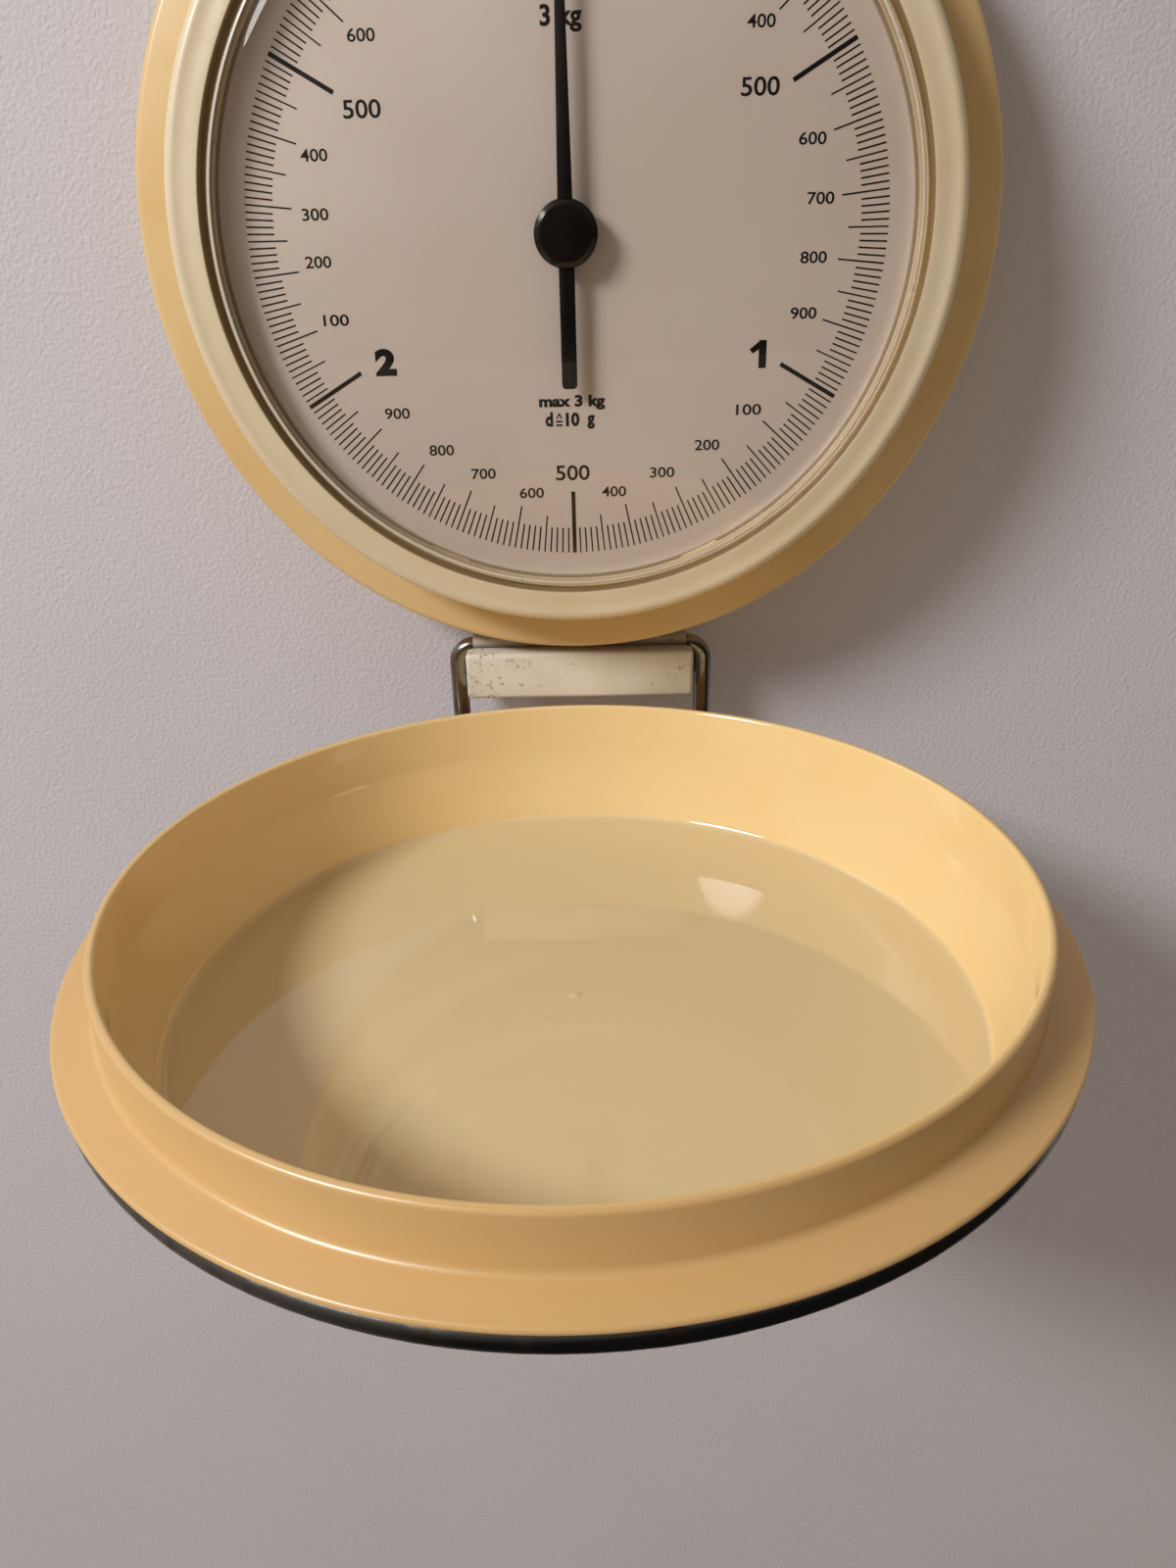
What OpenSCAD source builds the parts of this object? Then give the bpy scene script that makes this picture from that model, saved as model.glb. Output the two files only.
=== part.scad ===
// Wall-mounted kitchen scale with a round dial and a bowl that folds up over it.
// Millimetres, +Z up. The origin is on the wall plane at the dial's axis, and the front faces -Y.
// Most pieces are drawn on the wall: local X is to the right, local Y is up, local Z is the distance from the wall.

/* [Housing] */
// Outer radius of the drum
drum_r = 104.5; // [96:0.5:114]
// Wall thickness of the drum
drum_wall = 2.2; // [1.6:0.1:3]
// Height of the drum's front ledge above the wall
ledge_h = 27.2; // [26.6:0.1:32]
// How far the skirt falls back from the ledge to its outer edge
skirt_fall = 1.4; // [0.6:0.1:3]
// Rounding of the skirt's outer edge
skirt_edge_r = 2; // [1:0.1:3]
// Gap between the drum's back edge and the wall
wall_gap = 0.5; // [0.3:0.1:1]
// Front of the neck that carries the dial, above the wall
neck_h = 35; // [34:0.1:38]
// How far the neck's inner face lies outside the bezel's bore
neck_step = 0.7; // [0.5:0.1:1]
// Thickness of the neck
neck_wall = 3; // [2:0.1:3.5]
// Distance of the cover screws from the rear cover's edge
cover_screw_inset = 8; // [6.5:0.1:9]

/* [Rear Cover] */
// Height of the rear cover's wall above the room's wall
cover_h = 4; // [3.6:0.1:4.6]
// Thickness of the rear cover's wall
cover_t = 2.2; // [1.8:0.1:3]

/* [Bezel, Lens and Dial] */
// Outer radius of the bezel
bezel_r = 91.6; // [90.5:0.1:93]
// Wall thickness of the bezel
bezel_wall = 2.2; // [1.6:0.1:2.6]
// Width of the bezel from its outer edge to its opening
bezel_w = 8.3; // [7.6:0.1:9]
// Front of the bezel's outer bead above the dial's face
bezel_rise = 8.2; // [7:0.1:9]
// Thickness of the dial plate
dial_t = 1; // [0.6:0.1:1.5]
// Gap between the bezel's opening and the lens's edge
lens_gap = 2; // [1.6:0.1:2.4]
// Thickness of the lens
lens_t = 1.6; // [1:0.1:2.2]
// Straight height of the lens's rim
lens_rim_h = 5; // [4:0.1:6]
// Height of the lens's dome above its rim
lens_dome_h = 9.5; // [8:0.1:12]
// Angle of the lens's locking tabs from the vertical
tab_angle = 23.5; // [15:0.5:40]
// Angle that one tab spans
tab_span = 7; // [4:0.5:10]

/* [Pointer] */
// Distance of the needle's tip from the lens's edge
needle_gap = 12.3; // [10:0.1:20]
// Length of the pointer's tail from the axis
tail_l = 34; // [28:0.5:50]
// Width of the needle at the hub
needle_w = 3.7; // [2:0.1:4.5]
// Width of the needle at its tip
tip_w = 1.6; // [0.8:0.1:2.4]
// Thickness of the pointer
pointer_t = 1; // [0.6:0.1:1.4]
// Radius of the pointer's hub
hub_r = 7.4; // [6:0.1:9]
// Gap between the dial's face and the pointer
pointer_gap = 3.8; // [2:0.1:4]
// Radius of the pointer's shaft
shaft_r = 1.5; // [1.2:0.05:1.7]

/* [Hinge and Front Bar] */
// Distance of the hinge axis from the wall
hinge_h = 13.5; // [13:0.1:14.5]
// How far the hinge axis lies below the drum
hinge_drop = 2.6; // [2.2:0.1:6]
// Width of the carriage at the hinge
carriage_w = 61.6; // [58:0.1:63]
// Radius of the hinge barrel
barrel_r = 4; // [3.4:0.1:4.2]
// Width of the front bar
bar_w = 65; // [63:0.1:66]
// Height of the front bar
bar_z = 13.4; // [13:0.1:15]
// Front of the bar, in front of the hinge axis
bar_front = 10; // [9.5:0.1:10.2]
// Wall thickness of the bar
bar_wall = 2; // [1.4:0.1:2.4]

/* [Wire Frame] */
// Radius of the wire
wire_r = 2.5; // [2:0.05:2.6]
// Distance between the middles of the two legs
leg_span = 71.5; // [70.5:0.1:76]
// Bend radius at the top of each leg
top_bend_r = 5; // [4:0.1:5.5]
// Bend radius at the foot of each leg
foot_bend_r = 5.5; // [5:0.1:7]
// Bend radius where each leg turns into the ring
turn_r = 8; // [6:0.1:10]
// How deep each end of the wire sits in the hinge barrel
stub_l = 14; // [8:0.5:20]

/* [Bowl] */
// Gap between the folded bowl's wall and the bezel
bowl_side_gap = 2.9; // [2.5:0.1:5]
// Gap between the folded bowl's rim and the drum
bowl_fold_gap = 1.2; // [0.8:0.1:3]
// Wall thickness of the bowl
bowl_wall = 2; // [1.6:0.1:2.4]
// Inner depth of the bowl
bowl_depth = 33; // [30:0.5:45]
// How far the floor's edge lies inside the wall at the rim
floor_inset = 5.3; // [3:0.1:9]
// Width of the bowl's flange outside its wall
flange_w = 8.1; // [7.5:0.1:9]
// How far the flange's underside lies below the rim
flange_drop = 14.2; // [12:0.1:16]
// Thickness of the flange's edge
flange_t = 1.6; // [1.2:0.1:2.2]
// How far the wire's middle lies inside the flange's edge
ring_inset = 3; // [2.6:0.1:4]

/* [Movement] */
// Travel of the carriage at full load
travel = 15.7; // [12:0.1:15.7]
// Thickness of the steel plates
plate_t = 1.5; // [1.2:0.1:1.8]
// Thickness of the carriage plate
carriage_t = 3; // [2.4:0.1:3.2]
// Width of the carriage's stem
stem_w = 28; // [26:0.5:28.5]
// Back face of the front bridge above the wall
bridge_h = 20; // [19.2:0.1:21.5]
// Half the width of the chassis plate
chassis_x = 52; // [50.5:0.5:54]
// Distance of each spring from the middle
spring_x = 20; // [19:0.5:21]
// Middle radius of the spring's coil
coil_r = 3.8; // [3:0.1:4.2]
// Radius of the spring's wire
spring_wire_r = 0.5; // [0.4:0.05:0.6]
// Number of coils in a spring
coils = 9; // [5:1:12]
// Length of each arm from its pivot to its slot
arm_l = 54; // [52:0.5:56]
// Width of each arm
arm_w = 9; // [8:0.5:10]
// Thickness of each arm
arm_t = 1.6; // [1:0.1:1.8]
// Radius of the pins that the arms turn on
arm_pin_r = 2; // [1.6:0.1:2.2]
// Height of the upper arm's pin in the carriage above the dial's axis
arm_z = -14; // [-15:0.5:-13]
// Distance between the pins of the two arms
arm_spacing = 48; // [46:0.5:50]
// Distance of those pins to the right of the dial's axis
arm_pin_x = 9; // [8.5:0.1:9.5]
// Distance of the bridge's standoffs from the middle
standoff_x = 34; // [33:0.5:36]
// Height of the upper standoffs above the dial's axis
standoff_top = 26; // [24:0.5:28]
// Height of the lower standoffs above the dial's axis
standoff_bottom = -40; // [-42:0.5:-39]

/* [Rack and Pinion] */
// Number of teeth on the pinion
pinion_teeth = 10; // [8:1:12]
// Pitch radius of the pinion
pinion_pitch_r = 2.5; // [2.45:0.01:2.55]
// Face width of the pinion
pinion_w = 2.6; // [2:0.1:3]
// Thickness of the rack
rack_t = 3; // [2.6:0.1:3.2]
// Width of the rack's back, behind its teeth
rack_back = 4.4; // [3.5:0.1:4.6]

/* [Zero Adjuster] */
// Radius of the knob
knob_r = 7; // [5:0.1:7.5]
// Height of the knob
knob_z = 7; // [5:0.1:9]
// Radius of the zero screw
zero_screw_r = 2; // [1.6:0.05:2.2]

/* [Wall Bracket] */
// Distance between the two wall screws
screw_span = 70; // [60:1:76]
// Height of the wall screws above the dial's axis
screw_z = 10; // [4:0.5:20]
// Radius of the wall screw holes
screw_hole_r = 2.25; // [1.75:0.05:2.5]
// Distance of each hook from the middle
hook_x = 36; // [34:0.5:38]
// Height of the hooks above the dial's axis
hook_z = 46; // [44:0.5:48]
// Width of each hook
hook_w = 10; // [8:0.5:12]
// Height of the hooks' tongues
hook_tongue = 5; // [4:0.5:5.5]
// How far the scale lifts off its hooks
lift = 6; // [5.8:0.1:7]

/* [Clearances] */
// Radial gap of a running fit
run_gap = 0.05; // [0.02:0.01:0.08]
// Radial gap of a fixed fit
fixed_gap = 0.02; // [0.01:0.01:0.04]
// Gap between flat faces that slide past each other
slide_gap = 0.15; // [0.1:0.05:0.25]
// Gap under a piece that rests on another body
seat_gap = 0.3; // [0.2:0.05:0.4]

/* [Hidden] */
$fn = 64;
cream = "#E3CFAE";
yellow = "#E8C27E";
steel = "#B8BAB8";
brass = "#C9A85A";
dark = "#2B2A28";

// Housing and dial
drum_in_r = drum_r - drum_wall;
skirt_h = ledge_h - skirt_fall;
cover_r = drum_in_r - seat_gap;
cover_screw_r = cover_r - cover_screw_inset;
cover_front = cover_h + cover_t;
bezel_bore_r = bezel_r - bezel_w;
lens_r = bezel_bore_r - lens_gap;
neck_r = bezel_bore_r + neck_step;
needle_l = lens_r - needle_gap;
tab_angles = [-tab_angle, tab_angle, 180 - tab_angle, 180 + tab_angle];
dial_h = neck_h + dial_t;
dial_r = neck_r + neck_wall - 0.5;
bezel_front = dial_h + bezel_rise;
lens_edge_h = dial_h + lens_rim_h;
boss_r = 4.5;
screw_r = 1.5;
pilot_gap = 0.1;
thin_head = 1.5;

// Layers of the movement, as heights above the wall
chassis_front = cover_front + plate_t;
bridge_front = bridge_h + plate_t;
carriage_back = hinge_h - carriage_t / 2;
carriage_front = carriage_back + carriage_t;
arm_back = chassis_front + 1.5;
arm_front = arm_back + arm_t;

// Heights of the movement's pieces above the dial's axis
ear_z = 25.5;
yoke_z = 60.5;
lug_z = 72;
chassis_bottom = -80;
hang_r = 1.7;
loop_inset = 1.1;
loop_r = 2.6;
ear_half = 4;
plate_margin = 8;
standoffs = [for (x = [-standoff_x, standoff_x], z = [standoff_top, standoff_bottom]) [x, z]];
fixing_x = chassis_x - plate_margin;
chassis_fixings = [for (x = [-fixing_x, fixing_x], z = [standoff_top + 30, standoff_bottom - 10]) [x, z]];
arm_levels = [arm_z, arm_z - arm_spacing];
pad_w = 9;
pad_z = 8;
pad_levels = [2, -46];
arm_rise = travel / 2;
slot_extra = 1.2;

// Hinge, wire frame and bowl
hinge_z = -(drum_r + hinge_drop);
bowl_axis_h = hinge_h - hinge_z;
rim_z = hinge_z - (ledge_h + bowl_fold_gap - hinge_h);
rim_r = bezel_r + bowl_side_gap + bowl_wall;
flange_r = rim_r + flange_w;
ring_r = flange_r - ring_inset;
ring_z = rim_z - flange_drop - seat_gap - wire_r;
leg_x = leg_span / 2;
floor_r = rim_r - bowl_wall - floor_inset;
// A short sleeve, slightly proud of the wire, closes each butt joint in it
weld_r = 0.06;
weld_l = 1.2;
// Each wire ends this angle or distance before the joint, inside the sleeve
weld_angle = 0.5;
weld_gap = 0.1;
bar_top = hinge_z + 0.2;
bar_bottom = bar_top - bar_z;
bar_back_h = carriage_front;
bar_front_h = hinge_h + bar_front;
tongue_bottom = bar_bottom + bar_wall + 0.3;
bar_screw_x = 12;
bar_screw_z = tongue_bottom + 3.3;

// Rack and pinion
tooth_pitch = 2 * PI * pinion_pitch_r / pinion_teeth;
addendum = 0.42;
dedendum = 0.6;
backlash = 0.2;
pinion_h = carriage_front + 0.3;

// Zero adjuster
collar_z = 2;
knob_base = drum_r + 0.6;

// Points of an arc in the plane, with n steps
function arc(x, y, r, from, to, n = 5) =
    [for (i = [0 : n]) [x + r * cos(from + (to - from) * i / n), y + r * sin(from + (to - from) * i / n)]];

module on_wall() {
    rotate([90, 0, 0]) children();
}

// A slab that stands off the wall from height a to height b
module slab(a, b) {
    translate([0, 0, a]) linear_extrude(b - a) children();
}

module rod(x, z, r, a, b) {
    translate([x, z, a]) cylinder(r = r, h = b - a);
}

module round_box(w, h, r) {
    translate([-w / 2 + r, -h / 2 + r])
        offset_square(w - 2 * r, h - 2 * r, r);
}

// A rectangle with true round corners, drawn from its inner corner
module offset_square(w, h, r) {
    translate([-r, 0]) square([w + 2 * r, h]);
    translate([0, -r]) square([w, h + 2 * r]);
    for (x = [0, w], y = [0, h])
        translate([x, y]) circle(r = r);
}

module both_sides() {
    children();
    mirror([1, 0, 0]) children();
}

// ---- Wall bracket and housing ----

module wall_bracket() {
    neck_front = chassis_front + seat_gap + plate_t;
    window_z = 7;
    bottom = screw_z - 23;
    top = hook_z + plate_t + 5.5;
    color(steel) on_wall() {
        slab(0, plate_t) difference() {
            translate([0, (top + bottom) / 2]) round_box(screw_span + 20, top - bottom, 6);
            for (side = [-1, 1]) {
                translate([side * screw_span / 2, screw_z]) circle(r = screw_hole_r);
                translate([side * hook_x - hook_w / 2, hook_z - window_z]) square([hook_w, window_z]);
            }
        }
        both_sides() translate([hook_x - hook_w / 2, hook_z, 0]) {
            cube([hook_w, plate_t, neck_front]);
            translate([0, 0, neck_front - plate_t])
                cube([hook_w, plate_t + hook_tongue, plate_t]);
        }
    }
}

// The slot that a hook of the wall bracket passes through
module hook_slots() {
    play = 1.2;
    both_sides() translate([hook_x - hook_w / 2 - 1, hook_z - lift - play])
        square([hook_w + 2, plate_t + lift + play]);
}

module cover_screw_places() {
    for (a = [45 : 90 : 315])
        rotate(a) translate([cover_screw_r, 0]) children();
}

module rear_cover() {
    color(dark) on_wall() difference() {
        union() {
            rod(0, 0, cover_r, cover_h, cover_front);
            slab(wall_gap, cover_h) difference() {
                circle(r = cover_r, $fn = 128);
                circle(r = cover_r - cover_t, $fn = 128);
            }
            for (p = chassis_fixings)
                rod(p[0], p[1], 4, cover_h - 2, cover_h);
        }
        slab(cover_h - 1, cover_front + 1) hook_slots();
        cover_screw_places() rod(0, 0, screw_r + pilot_gap, 0, cover_front + 1);
        for (p = chassis_fixings)
            rod(p[0], p[1], screw_r + pilot_gap, cover_h - 3, cover_front + 1);
    }
}

module housing_shell() {
    notch_h = bridge_h - 1.5;
    color(yellow) on_wall() difference() {
        union() {
            rotate_extrude($fn = 160) polygon(concat(
                [[drum_in_r, wall_gap], [drum_r, wall_gap]],
                arc(drum_r - skirt_edge_r, skirt_h - skirt_edge_r, skirt_edge_r, 0, 84),
                [[bezel_r, ledge_h], [neck_r + neck_wall, ledge_h],
                 [neck_r + neck_wall, neck_h], [neck_r, neck_h],
                 [neck_r, ledge_h - drum_wall], [bezel_r, ledge_h - drum_wall],
                 [drum_in_r - 1, skirt_h - drum_wall - 0.6], [drum_in_r, skirt_h - drum_wall - 1.6]]));
            cover_screw_places() rod(0, 0, boss_r, cover_front, ledge_h - drum_wall + 0.5);
        }
        cover_screw_places() rod(0, 0, screw_r + pilot_gap, 0, 16);
        translate([-carriage_w / 2 - 1.5, -drum_r - 1, -1])
            cube([carriage_w + 3, drum_wall + 12, notch_h + 1]);
        translate([0, drum_in_r - 2, hinge_h]) rotate([-90, 0, 0])
            cylinder(r = zero_screw_r + 0.6, h = drum_wall + 4);
    }
}

module bezel_ring() {
    bead_r = 1.7;
    lip_r = 0.9;
    lip_h = bezel_front - 0.4;
    channel_r = bezel_bore_r + 3.3;
    catch = 0.35;
    color(cream) on_wall() rotate_extrude($fn = 160) polygon(concat(
        [[bezel_r, ledge_h]],
        arc(bezel_r - bead_r, bezel_front - bead_r, bead_r, 0, 110, 8),
        arc(channel_r, bezel_front + 1.2, 2.6, -65, -115, 4),
        arc(bezel_bore_r + lip_r, lip_h - lip_r, lip_r, 60, 180, 6),
        [[bezel_bore_r, lens_edge_h], [bezel_bore_r - catch, lens_edge_h - 0.4],
         [bezel_bore_r - catch, lens_edge_h - 0.9], [bezel_bore_r, lens_edge_h - 1.2],
         [bezel_bore_r, dial_h], [bezel_bore_r + bezel_wall - 0.4, dial_h],
         [bezel_bore_r + bezel_wall - 0.4, bezel_front - bezel_wall - 2],
         [bezel_r - bezel_wall, bezel_front - bezel_wall - 1.2],
         [bezel_r - bezel_wall, ledge_h]]));
}

module lens() {
    shoulder_r = 3;
    crown_h = lens_edge_h + lens_dome_h;
    tab_h = lens_edge_h - 3.4;
    // Radius of the dome that rises by lens_dome_h over the lens
    span = lens_r - 1;
    dome_r = (span * span + lens_dome_h * lens_dome_h) / (2 * lens_dome_h);
    reach = asin(span / dome_r);
    color("#DDE6E8", 0.35) on_wall() {
        rotate_extrude($fn = 160) polygon(concat(
            arc(0, crown_h - dome_r, dome_r, 90, 90 - reach, 12),
            [[lens_r, lens_edge_h - 1], [lens_r, dial_h], [lens_r - lens_t, dial_h],
             [lens_r - lens_t, lens_edge_h - 1.8]],
            arc(0, crown_h - dome_r, dome_r - lens_t, 90 - reach + 0.6, 90, 12)));
        for (a = tab_angles)
            translate([0, 0, tab_h]) rotate(a - 90 - tab_span / 2) rotate_extrude(angle = tab_span)
                translate([lens_r - lens_t / 2, 0])
                    square([bezel_bore_r - lens_r + lens_t / 2 - slide_gap, 1.8]);
    }
}

module dial_plate() {
    color("#B9AC9A") on_wall() slab(neck_h, dial_h) difference() {
        circle(r = dial_r, $fn = 160);
        circle(r = 4);
    }
}

// ---- Fixed frame of the movement ----

module chassis_plate() {
    top = lug_z + plate_t;
    color(steel) on_wall() difference() {
        union() {
            slab(cover_front, chassis_front)
                translate([0, (top + chassis_bottom) / 2])
                    round_box(2 * chassis_x, top - chassis_bottom, 12);
            translate([-12, lug_z, cover_front]) cube([24, plate_t, bridge_h - cover_front]);
        }
        slab(cover_h, chassis_front + 1) hook_slots();
        rod(0, 0, 3 + fixed_gap, 0, chassis_front + 1);
        for (p = chassis_fixings)
            rod(p[0], p[1], screw_r + pilot_gap, 0, chassis_front + 1);
        for (z = arm_levels)
            rod(arm_pin_x - arm_l, z - arm_rise, arm_pin_r - 0.5 + fixed_gap, 0, chassis_front + 1);
        translate([0, lug_z - 1, hinge_h]) rotate([-90, 0, 0])
            cylinder(r = zero_screw_r + run_gap, h = plate_t + 2);
    }
}

module front_bridge() {
    color(steel) on_wall() difference() {
        slab(bridge_h, bridge_front) translate([0, (standoff_top + standoff_bottom) / 2])
            round_box(2 * standoff_x + 12, standoff_top - standoff_bottom + 14, plate_margin);
        rod(0, 0, 3 + fixed_gap, 0, bridge_front + 1);
        for (p = standoffs)
            rod(p[0], p[1], screw_r + pilot_gap, 0, bridge_front + 1);
    }
}

module bridge_standoffs() {
    color(brass) on_wall() for (p = standoffs)
        difference() {
            rod(p[0], p[1], 3, chassis_front, bridge_h);
            rod(p[0], p[1], screw_r + pilot_gap, chassis_front + 3, bridge_h + 1);
        }
}

// A pan-head screw that points at the wall, with its head's seat at height seat
module screw_to_wall(seat, length) {
    rod(0, 0, screw_r, seat - length, seat + 0.1);
    rod(0, 0, 2.8, seat, seat + thin_head);
}

module bridge_screws() {
    color(steel) on_wall() for (p = standoffs)
        translate([p[0], p[1], 0]) screw_to_wall(bridge_front, 9);
}

module chassis_screws() {
    color(steel) on_wall() for (p = chassis_fixings)
        translate([p[0], p[1], 0]) screw_to_wall(chassis_front, 5);
}

module cover_screws() {
    color(steel) on_wall() cover_screw_places() {
        rod(0, 0, screw_r, cover_h - 0.1, 15);
        rod(0, 0, 2.8, cover_h - thin_head, cover_h);
    }
}

// A flanged bush that is pressed into a plate whose front lies at height face
module bush(back, face, front) {
    color(brass) on_wall() difference() {
        union() {
            rod(0, 0, 3, back, front);
            rod(0, 0, 4.2, face, face + 0.8);
        }
        rod(0, 0, shaft_r + run_gap, back - 1, front + 1);
    }
}

module rear_bush() {
    bush(cover_front, chassis_front, chassis_front + 1.5);
}

module front_bush() {
    bush(bridge_h - 1, bridge_front, bridge_front + 1.5);
}

module guide_pads() {
    half = stem_w / 2;
    beside_rack = pad_w / 2;
    color("white") on_wall() {
        for (x = [-half, half - pad_w], z = pad_levels)
            translate([x, z]) slab(chassis_front, carriage_back - slide_gap) square([pad_w, pad_z]);
        for (z = pad_levels)
            translate([-half, z]) slab(carriage_front + slide_gap, bridge_h) square([pad_w, pad_z]);
        translate([half - pad_w, pad_levels[1]])
            slab(carriage_front + slide_gap, bridge_h) square([pad_w, pad_z]);
        translate([half - beside_rack, pad_levels[0]])
            slab(carriage_front + slide_gap, bridge_h) square([beside_rack, pad_z]);
    }
}

module arm_pivot_pins() {
    color(steel) on_wall() for (z = arm_levels)
        translate([arm_pin_x - arm_l, z - arm_rise]) {
            rod(0, 0, arm_pin_r - 0.5, cover_front, chassis_front);
            rod(0, 0, arm_pin_r + 1.5, chassis_front, arm_back - slide_gap);
            rod(0, 0, arm_pin_r, chassis_front, arm_front + slide_gap);
            rod(0, 0, arm_pin_r + 1.5, arm_front + slide_gap, arm_front + slide_gap + 1);
        }
}

// ---- Springs and zero adjuster ----

function unit(v) = v / norm(v);

// A side vector carried along the path, square to the next tangent
function carried(side, tangent) = unit(side - (side * tangent) * tangent);

// A round wire swept along a path of points
module wire_path(path, r, sides = 6) {
    n = len(path);
    tangents = [for (i = [0 : n - 1]) unit(path[min(i + 1, n - 1)] - path[max(i - 1, 0)])];
    normals = [for (i = 0, s = carried([1, 0.2, 0.1], tangents[0]); i < n;
        i = i + 1, s = carried(s, tangents[min(i, n - 1)])) s];
    rings = [for (i = [0 : n - 1], k = [0 : sides - 1])
        path[i] + r * cos(360 * k / sides) * normals[i]
            + r * sin(360 * k / sides) * cross(tangents[i], normals[i])];
    skin = [for (i = [0 : n - 2], k = [0 : sides - 1])
        let (here = i * sides, there = here + sides, next = (k + 1) % sides)
        each [[here + k, there + k, there + next], [here + k, there + next, here + next]]];
    ends = [[for (k = [0 : sides - 1]) k], [for (k = [sides - 1 : -1 : 0]) (n - 1) * sides + k]];
    polyhedron(points = rings, faces = concat(skin, ends), convexity = 8);
}

// An extension spring between the carriage's ear and the yoke, with a hanging loop at each end
module spring_at(x) {
    low = ear_z + hang_r - loop_inset + loop_r;
    high = yoke_z - hang_r + loop_inset - loop_r;
    start = low + loop_r;
    rise = high - loop_r - start;
    steps = 10;
    last = coils * steps;
    lead = steps / 2;
    bottom_loop = [for (a = [-210 : 30 : 90]) [0, -loop_r * cos(a), low + loop_r * sin(a)]];
    coil = [for (i = [1 : last - 1]) let (r = coil_r * min(1, i / lead, (last - i) / lead), a = 360 * i / steps)
        [-r * sin(a), r * cos(a), start + rise * i / last]];
    top_loop = [for (a = [-90 : 30 : 210]) [0, -loop_r * cos(a), high + loop_r * sin(a)]];
    color(steel) translate([x, -hinge_h, 0]) wire_path(concat(bottom_loop, coil, top_loop), spring_wire_r);
}

module spring_left() {
    spring_at(-spring_x);
}

module spring_right() {
    spring_at(spring_x);
}

module spring_yoke() {
    color(steel) on_wall() difference() {
        union() {
            slab(carriage_back, carriage_front)
                translate([0, yoke_z]) round_box(2 * spring_x + 10, 2 * ear_half, 3);
            translate([-5, yoke_z - ear_half, hinge_h - 5]) cube([10, 2 * ear_half, 10]);
        }
        for (side = [-1, 1])
            rod(side * spring_x, yoke_z, hang_r, 0, bridge_h);
        translate([0, yoke_z - ear_half - 1, hinge_h]) rotate([-90, 0, 0])
            cylinder(r = zero_screw_r + run_gap, h = 2 * ear_half + 2);
    }
}

module zero_screw() {
    bottom = yoke_z - ear_half - 4;
    collar = lug_z + plate_t + slide_gap;
    color(brass) translate([0, -hinge_h, 0]) {
        translate([0, 0, bottom]) cylinder(r = zero_screw_r, h = knob_base + knob_z - 1.5 - bottom);
        translate([0, 0, collar]) cylinder(r = zero_screw_r + 2, h = collar_z);
    }
}

module zero_knob() {
    ribs = 24;
    color(cream) translate([0, -hinge_h, knob_base]) difference() {
        union() {
            cylinder(r = knob_r, h = knob_z - 1);
            cylinder(r = knob_r - 1, h = knob_z);
        }
        translate([0, 0, -1]) cylinder(r = zero_screw_r + fixed_gap, h = knob_z - 0.5);
        for (i = [0 : ribs - 1])
            rotate(360 * i / ribs) translate([knob_r + 0.3, 0, -1]) cylinder(r = 0.6, h = knob_z + 2, $fn = 24);
    }
}

// ---- Carriage ----

module carriage_outline() {
    half = stem_w / 2;
    wide = carriage_w / 2;
    ear = spring_x + 5;
    low = chassis_bottom;
    shoulder = low + 8;
    neck = ear_z - ear_half - 5;
    difference() {
        polygon([[-wide, hinge_z], [-wide, low], [-half, shoulder], [-half, neck],
            [-ear, ear_z - ear_half], [-ear, ear_z + ear_half], [ear, ear_z + ear_half],
            [ear, ear_z - ear_half], [half, neck], [half, shoulder], [wide, low], [wide, hinge_z]]);
        translate([-shaft_r - 0.7, -shaft_r - 1]) square([2 * shaft_r + 1.4, travel + 2 * shaft_r + 2]);
        for (side = [-1, 1])
            translate([side * spring_x, ear_z]) circle(r = hang_r);
        for (z = arm_levels)
            translate([arm_pin_x, z]) circle(r = arm_pin_r - 0.5 + fixed_gap);
        for (z = rack_rivet_levels())
            translate([rack_rivet_x(), z]) circle(r = 1 + fixed_gap);
    }
}

module carriage_plate() {
    wide = carriage_w / 2;
    tongue_x = wide - 2.8;
    stop_x = tongue_x - 8;
    stop_z = 6;
    stop_back = hinge_h - wire_r - 3;
    color(cream) difference() {
        union() {
            on_wall() {
                slab(carriage_back, carriage_front) {
                    carriage_outline();
                    translate([-tongue_x, tongue_bottom]) square([2 * tongue_x, hinge_z - tongue_bottom]);
                }
                // Stops behind the two legs
                both_sides() translate([stop_x, tongue_bottom]) {
                    slab(stop_back, carriage_back) square([tongue_x - stop_x, stop_z]);
                    slab(stop_back, hinge_h - wire_r - seat_gap) square([leg_x + wire_r - stop_x, stop_z]);
                }
            }
            translate([-wide, -hinge_h, hinge_z]) rotate([0, 90, 0]) cylinder(r = barrel_r, h = carriage_w);
        }
        both_sides() translate([wide - stub_l - 0.5, -hinge_h, hinge_z]) rotate([0, 90, 0])
            cylinder(r = wire_r + run_gap, h = stub_l + 2);
        on_wall() for (side = [-1, 1])
            rod(side * bar_screw_x, bar_screw_z, 1.3, 0, bridge_h);
    }
}

function rack_rivet_x() = pinion_pitch_r + dedendum + rack_back / 2;
function rack_rivet_levels() = [-4, travel + 4];

// One rack tooth, pointing at the pinion from the pitch line x = 0
module rack_tooth() {
    half = tooth_pitch / 4 - backlash / 2;
    slope = tan(20);
    polygon([[dedendum, -half - slope * dedendum], [dedendum, half + slope * dedendum],
        [-addendum, half - slope * addendum], [-addendum, -half + slope * addendum]]);
}

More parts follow.
